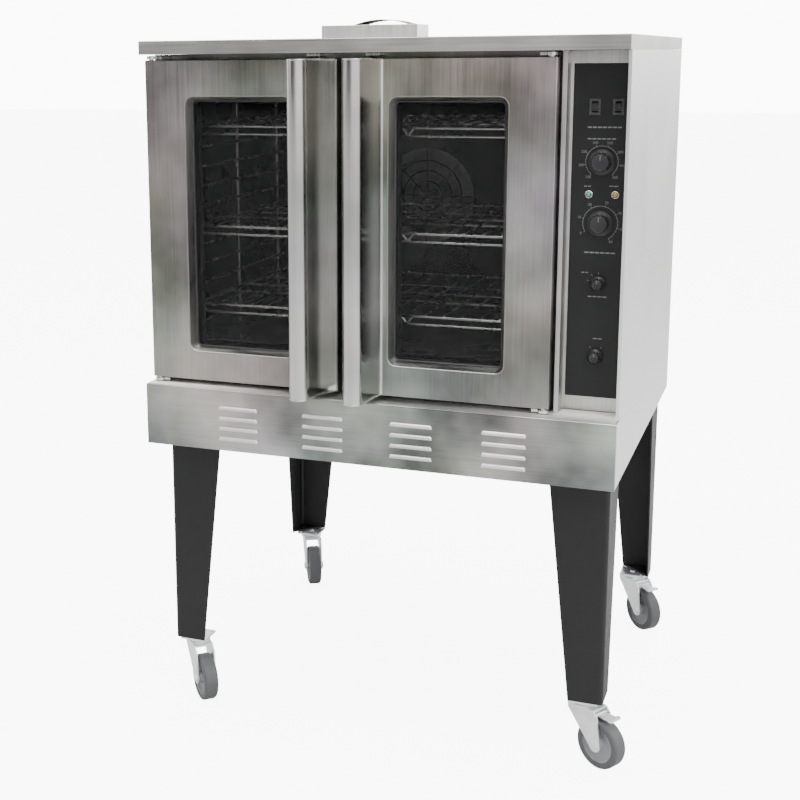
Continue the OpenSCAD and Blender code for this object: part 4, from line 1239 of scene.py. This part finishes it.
def build_chamber(finish, sizes):
    """The enamelled chamber, its racks and guides, the blower with its motor, and the wool round it"""
    eased_on_cabinet(
        finish,
        ("chamber_walls", "oven_liner", "enamel", "enamel", 0.3),
        ("chamber_baffle", "fan_baffle", "enamel_grey", "enamel", 0.3))
    finish_piece("guide_ladders", cad_copy("rack_guides"), "cabinet", finish["chrome"],
                 ("rack_guides",), angle=50.0)
    for place in ("upper", "middle", "lower"):
        build_rack("rack_" + place, place + "_rack", finish, sizes)
    eased_cad("blower_cage", "blower_wheel", "blower", finish["blower"], 0.3 * MM)
    eased_on_cabinet(
        finish,
        ("wool_slabs", "insulation", "mineral_wool", "wool", 3),
        ("motor_case", "fan_motor", "motor_blue", "motor", 1.2))


def build_gas(finish):
    """The burners, gas line, duct, lead gland and screws"""
    eased_on_cabinet(
        finish,
        ("burner_tubes", "burners", "burner_iron", "burner", 0.3),
        ("gas_line", "gas_train", "valve_alloy", "valve", 0.8),
        ("gas_flue_duct", "flue_duct", "galvanised", "galvanised", 0.4),
        ("lead_gland", "power_inlet", "switch_plastic", "plastic", 0.6),
        ("screw_heads", "screws", "bright_steel", "bright", 0.7))


def build_flue(finish):
    """The flue's collar on the lid and the arched hood in it"""
    eased_on_cabinet(
        finish,
        ("flue_collar", "flue_box", "stainless", "side", 1.0),
        ("flue_arch", "flue_hood", "flue_steel", "flue", 0.4))


# ---------------------------------------------------------------- stand

LEG_SHEET = 3 * MM
LEG_TOP = 118 * MM
LEG_FOOT = 69 * MM
LEG_PLATE = 4 * MM


def leg_section(width, fold, steps=7):
    """A leg's L-shaped section, its outer corner at the origin and its faces along -x and +y"""
    def arc(radius):
        return [(-fold + radius * math.cos(a), fold - radius * math.sin(a))
                for a in (math.radians(90 * i / steps) for i in range(steps + 1))]
    outer = [(0.0, width)] + arc(fold) + [(-width, 0.0)]
    inner = [(-width, LEG_SHEET)] + arc(fold - LEG_SHEET)[::-1] + [(-LEG_SHEET, width)]
    return outer + inner


def one_leg(low, high, fold):
    """A right front leg between two heights, with a corner plate at its foot and a flange at its top"""
    leg = bmesh.new()
    rings = []
    for width, z in ((LEG_FOOT, low), (LEG_TOP, high)):
        points = [leg.verts.new((x, y, z)) for x, y in leg_section(width, fold)]
        leg.faces.new(points)
        rings += [leg.edges.get((points[i - 1], points[i])) for i in range(len(points))]
    bmesh.ops.bridge_loops(leg, edges=rings)
    plate = ((-LEG_SHEET, LEG_SHEET, low), (-LEG_FOOT + 2 * LEG_SHEET, LEG_SHEET, low),
             (-LEG_SHEET, LEG_FOOT - 2 * LEG_SHEET, low))
    thicken_face(leg, [leg.verts.new(place) for place in plate], (0, 0, LEG_PLATE))
    add_block(leg, (-LEG_TOP / 2, LEG_SHEET, high - LEG_PLATE), (-LEG_SHEET, LEG_TOP - 4 * MM, high))
    bmesh.ops.recalc_face_normals(leg, faces=leg.faces)
    ease_edges(leg, 0.7 * MM, angle=60.0)
    return leg


def build_legs(finish, sizes):
    """Four tapering legs folded from sheet, each the right front leg or its mirror image"""
    low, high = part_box("legs")
    shape = bmesh.new()
    for right in (True, False):
        for front in (True, False):
            leg = one_leg(low.z, high.z, sizes.leg_fold)
            corner = Vector((high.x if right else low.x, low.y if front else high.y, 0))
            flip = Matrix.Diagonal((1 if right else -1, 1 if front else -1, 1, 1))
            bmesh.ops.transform(leg, matrix=Matrix.Translation(corner) @ flip, verts=leg.verts)
            if right != front:
                bmesh.ops.reverse_faces(leg, faces=leg.faces)
            merge_into(shape, leg)
    finish_piece("folded_legs", shape, "cabinet", finish["legs"], ("legs",))


WHEEL_HALF = 15.4 * MM
TREAD_ROUND = 6 * MM
HUB_DISH = 9.4 * MM


def both_sides(profile):
    """Half of a wheel's profile, mirrored to its other side and closed"""
    return profile + [(radius, -along) for radius, along in reversed(profile)] + [profile[0]]


def build_wheel(corner, finish):
    """A caster wheel: a round tread, and a paler dished hub with a raised boss and a bore"""
    joint = next(j for j in frame["joints"] if j["name"] == "roll_" + corner)
    centre, axis = Vector(joint["pos_m"]), Vector(joint["axis"])
    node = "caster_wheel_" + corner
    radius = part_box(node)[1].z / 2
    half = WHEEL_HALF
    flat = radius - TREAD_ROUND
    tread = [(radius - 14 * MM, -half + 1 * MM), (radius - 12 * MM, -half), (flat, -half)]
    tread += [(flat + TREAD_ROUND * math.sin(a), -half + TREAD_ROUND * (1 - math.cos(a)) * 0.9)
              for a in angles(15, 7)[1:]]
    shape = bmesh.new()
    lathe(shape, both_sides(tread), centre, axis, 64)
    finish_piece(node + "_tread", shape, "wheel_" + corner, finish["tread"], (node,))

    hub = [(6.1 * MM, -half), (11.5 * MM, -half), (12.5 * MM, -half + 0.8 * MM),
           (13.5 * MM, -half + 8 * MM), (16 * MM, -half + HUB_DISH), (radius - 19 * MM, -half + HUB_DISH),
           (radius - 15 * MM, -half + 7 * MM), (radius - 13.9 * MM, -half + 1.4 * MM)]
    shape = bmesh.new()
    lathe(shape, both_sides(hub), centre, axis, 48)
    finish_piece(node + "_hub", shape, "wheel_" + corner, finish["hub"])


def build_casters(finish):
    """Four swivel casters, two of them with a brake pedal"""
    eased_on_cabinet(finish, ("caster_mount_plates", "caster_plates", "zinc", "zinc", 0.6))
    for corner in CORNERS:
        eased_cad("caster_fork_" + corner + "_pressing", "caster_fork_" + corner, "caster_" + corner,
                  finish["zinc"], 0.7 * MM)
        build_wheel(corner, finish)
        if corner in BRAKED:
            eased_cad("brake_pedal_" + corner, "brake_lever_" + corner, "brake_" + corner,
                      finish["zinc"], 0.8 * MM)


# ---------------------------------------------------------------- stage

FLOOR_GLOW = 8.0
SKY_SEEN = 11.0
DIM_SIDE = (-0.55, -0.83, -0.05)
CAMERA_SHIFT = (0.1405, -0.103)
OVEN_MIDDLE = Vector((0, 0, 0.9))


def add_floor():
    """A floor that is a mid tone to the steel that mirrors it, and white to the eye"""
    shape = bmesh.new()
    bmesh.ops.create_grid(shape, x_segments=1, y_segments=1, size=30.0)
    mesh = bpy.data.meshes.new("floor")
    shape.to_mesh(mesh)
    shape.free()
    floor = bpy.data.objects.new("floor", mesh)
    bpy.context.scene.collection.objects.link(floor)
    made, tree, shader = new_material("Pale floor", 0.7, 0.0, Base_Color=(0.55, 0.55, 0.55, 1.0),
                                      Emission_Color=(1.0, 1.0, 1.0, 1.0))
    seen = add_node(tree, "ShaderNodeLightPath").outputs["Is Camera Ray"]
    tree.links.new(mapped(tree, seen, 0.0, FLOOR_GLOW), shader.inputs["Emission Strength"])
    mesh.materials.append(made)


def add_sky(light):
    """A white studio, dimmer ahead of the oven and to its left, which models the steel"""
    world = bpy.data.worlds.new("Studio")
    bpy.context.scene.world = world
    world.use_nodes = True
    tree = world.node_tree
    background = tree.nodes["Background"]
    place = add_node(tree, "ShaderNodeTexCoord").outputs["Generated"]
    towards = add_node(tree, "ShaderNodeVectorMath", {0: place, 1: DIM_SIDE},
                       operation="DOT_PRODUCT").outputs["Value"]
    dim = add_node(tree, "ShaderNodeMapRange",
                   {"Value": towards, "From Min": 0.55, "From Max": 0.90}).outputs[0]
    tree.links.new(mix_colour(tree, dim, (1.0, 1.0, 1.0), (0.05, 0.05, 0.05)), background.inputs["Color"])
    seen = add_node(tree, "ShaderNodeLightPath").outputs["Is Camera Ray"]
    tree.links.new(mapped(tree, seen, 2.0 * light, SKY_SEEN), background.inputs["Strength"])


def add_lamps(strength):
    """Round soft boxes that face the oven: name, place, size and power"""
    lamps = (("key_box", (3.4, -2.6, 3.2), 2.6, 110.0), ("fill_box", (-3.6, -2.8, 2.4), 2.4, 24.0),
             ("top_box", (0.0, -0.6, 4.4), 3.4, 260.0), ("back_box", (2.2, 3.6, 2.6), 2.4, 90.0))
    for name, spot, size, power in lamps:
        light = bpy.data.lights.new(name, "AREA")
        light.shape = "DISK"
        light.size = size
        light.energy = power * strength
        lamp = bpy.data.objects.new(name, light)
        lamp.location = spot
        lamp.rotation_euler = (OVEN_MIDDLE - Vector(spot)).to_track_quat("-Z", "Y").to_euler()
        bpy.context.scene.collection.objects.link(lamp)


def add_camera(stage):
    """The camera, turned by its azimuth, elevation and roll"""
    camera = bpy.data.cameras.new("camera")
    camera.sensor_width = 36.0
    camera.lens = stage.lens
    camera.shift_x, camera.shift_y = CAMERA_SHIFT
    holder = bpy.data.objects.new("camera", camera)
    bpy.context.scene.collection.objects.link(holder)
    az, el = stage.azimuth, stage.elevation
    back = Vector((math.sin(az) * math.cos(el), -math.cos(az) * math.cos(el), math.sin(el)))
    across = Vector((0, 0, 1)).cross(back).normalized()
    up = back.cross(across)
    level = Matrix((across, up, back)).transposed().to_4x4()
    holder.matrix_world = (Matrix.Translation(stage.place) @ level
                           @ Matrix.Rotation(stage.roll, 4, "Z"))
    bpy.context.scene.camera = holder


def build_stage(stage):
    """Everything that stands round the oven"""
    add_floor()
    add_sky(stage.light)
    add_lamps(stage.light)
    add_camera(stage)


# ---------------------------------------------------------------- operators

class OVEN_OT_lid(bpy.types.Operator):
    """Builds the lid"""

    bl_idname = "oven.lid"
    bl_label = "Lid"

    def execute(self, context):
        build_lid(finishes())
        return {"FINISHED"}


class OVEN_OT_panels(bpy.types.Operator):
    """Builds the side, rear, bottom and bay sheets"""

    bl_idname = "oven.panels"
    bl_label = "Panels"

    def execute(self, context):
        build_panels(finishes())
        return {"FINISHED"}


class OVEN_OT_skirt(bpy.types.Operator):
    """Builds the louvred skirt and the ledge behind it"""

    bl_idname = "oven.skirt"
    bl_label = "Skirt"

    def execute(self, context):
        build_skirt(finishes())
        return {"FINISHED"}


class OVEN_OT_doors(bpy.types.Operator):
    """Builds both glazed doors"""

    bl_idname = "oven.doors"
    bl_label = "Doors"

    def execute(self, context):
        build_doors(finishes(), context.scene.oven_sizes)
        return {"FINISHED"}


class OVEN_OT_handles(bpy.types.Operator):
    """Builds both door handles"""

    bl_idname = "oven.handles"
    bl_label = "Handles"

    def execute(self, context):
        build_handles(finishes(), context.scene.oven_sizes)
        return {"FINISHED"}


class OVEN_OT_door_hardware(bpy.types.Operator):
    """Builds hinges, catches and the seal"""

    bl_idname = "oven.door_hardware"
    bl_label = "Door hardware"

    def execute(self, context):
        build_door_hardware(finishes())
        return {"FINISHED"}


class OVEN_OT_controls(bpy.types.Operator):
    """Builds the fascia and its controls"""

    bl_idname = "oven.controls"
    bl_label = "Controls"

    def execute(self, context):
        build_controls(finishes(), context.scene.oven_sizes)
        return {"FINISHED"}


class OVEN_OT_chamber(bpy.types.Operator):
    """Builds the chamber, racks, blower and motor"""

    bl_idname = "oven.chamber"
    bl_label = "Chamber"

    def execute(self, context):
        build_chamber(finishes(), context.scene.oven_sizes)
        return {"FINISHED"}


class OVEN_OT_gas(bpy.types.Operator):
    """Builds the burners, gas line, duct and gland"""

    bl_idname = "oven.gas"
    bl_label = "Gas and services"

    def execute(self, context):
        build_gas(finishes())
        return {"FINISHED"}


class OVEN_OT_flue(bpy.types.Operator):
    """Builds the flue box and its hood"""

    bl_idname = "oven.flue"
    bl_label = "Flue"

    def execute(self, context):
        build_flue(finishes())
        return {"FINISHED"}


class OVEN_OT_legs(bpy.types.Operator):
    """Builds the four legs"""

    bl_idname = "oven.legs"
    bl_label = "Legs"

    def execute(self, context):
        build_legs(finishes(), context.scene.oven_sizes)
        return {"FINISHED"}


class OVEN_OT_casters(bpy.types.Operator):
    """Builds the casters and their brakes"""

    bl_idname = "oven.casters"
    bl_label = "Casters"

    def execute(self, context):
        build_casters(finishes())
        return {"FINISHED"}


class OVEN_OT_stage(bpy.types.Operator):
    """Adds the floor, the lights and the camera"""

    bl_idname = "oven.stage"
    bl_label = "Stage"

    def execute(self, context):
        build_stage(context.scene.oven_stage)
        return {"FINISHED"}


BUILDERS = (OVEN_OT_lid, OVEN_OT_panels, OVEN_OT_skirt, OVEN_OT_doors, OVEN_OT_handles,
            OVEN_OT_door_hardware, OVEN_OT_controls, OVEN_OT_chamber, OVEN_OT_gas, OVEN_OT_flue,
            OVEN_OT_legs, OVEN_OT_casters, OVEN_OT_stage)


class OVEN_PT_panel(bpy.types.Panel):
    """Lists the oven's builders and settings"""

    bl_label = "Convection Oven"
    bl_idname = "OVEN_PT_panel"
    bl_space_type = "VIEW_3D"
    bl_region_type = "UI"
    bl_category = "Oven"

    def draw(self, context):
        for builder in BUILDERS:
            self.layout.operator(builder.bl_idname)
        for group in (context.scene.oven_sizes, context.scene.oven_colours, context.scene.oven_stage):
            box = self.layout.box()
            for name in group.bl_rna.properties.keys():
                if name not in ("rna_type", "name"):
                    box.prop(group, name)


CLASSES = (OvenSizes, OvenColours, OvenStage, *BUILDERS, OVEN_PT_panel)


def register():
    for cls in CLASSES:
        bpy.utils.register_class(cls)
    bpy.types.Scene.oven_sizes = PointerProperty(type=OvenSizes)
    bpy.types.Scene.oven_colours = PointerProperty(type=OvenColours)
    bpy.types.Scene.oven_stage = PointerProperty(type=OvenStage)


def unregister():
    del bpy.types.Scene.oven_stage
    del bpy.types.Scene.oven_colours
    del bpy.types.Scene.oven_sizes
    for cls in reversed(CLASSES):
        bpy.utils.unregister_class(cls)


def main():
    register()
    for builder in BUILDERS:
        getattr(bpy.ops.oven, builder.bl_idname.split(".")[1])()


if __name__ == "__main__":
    main()
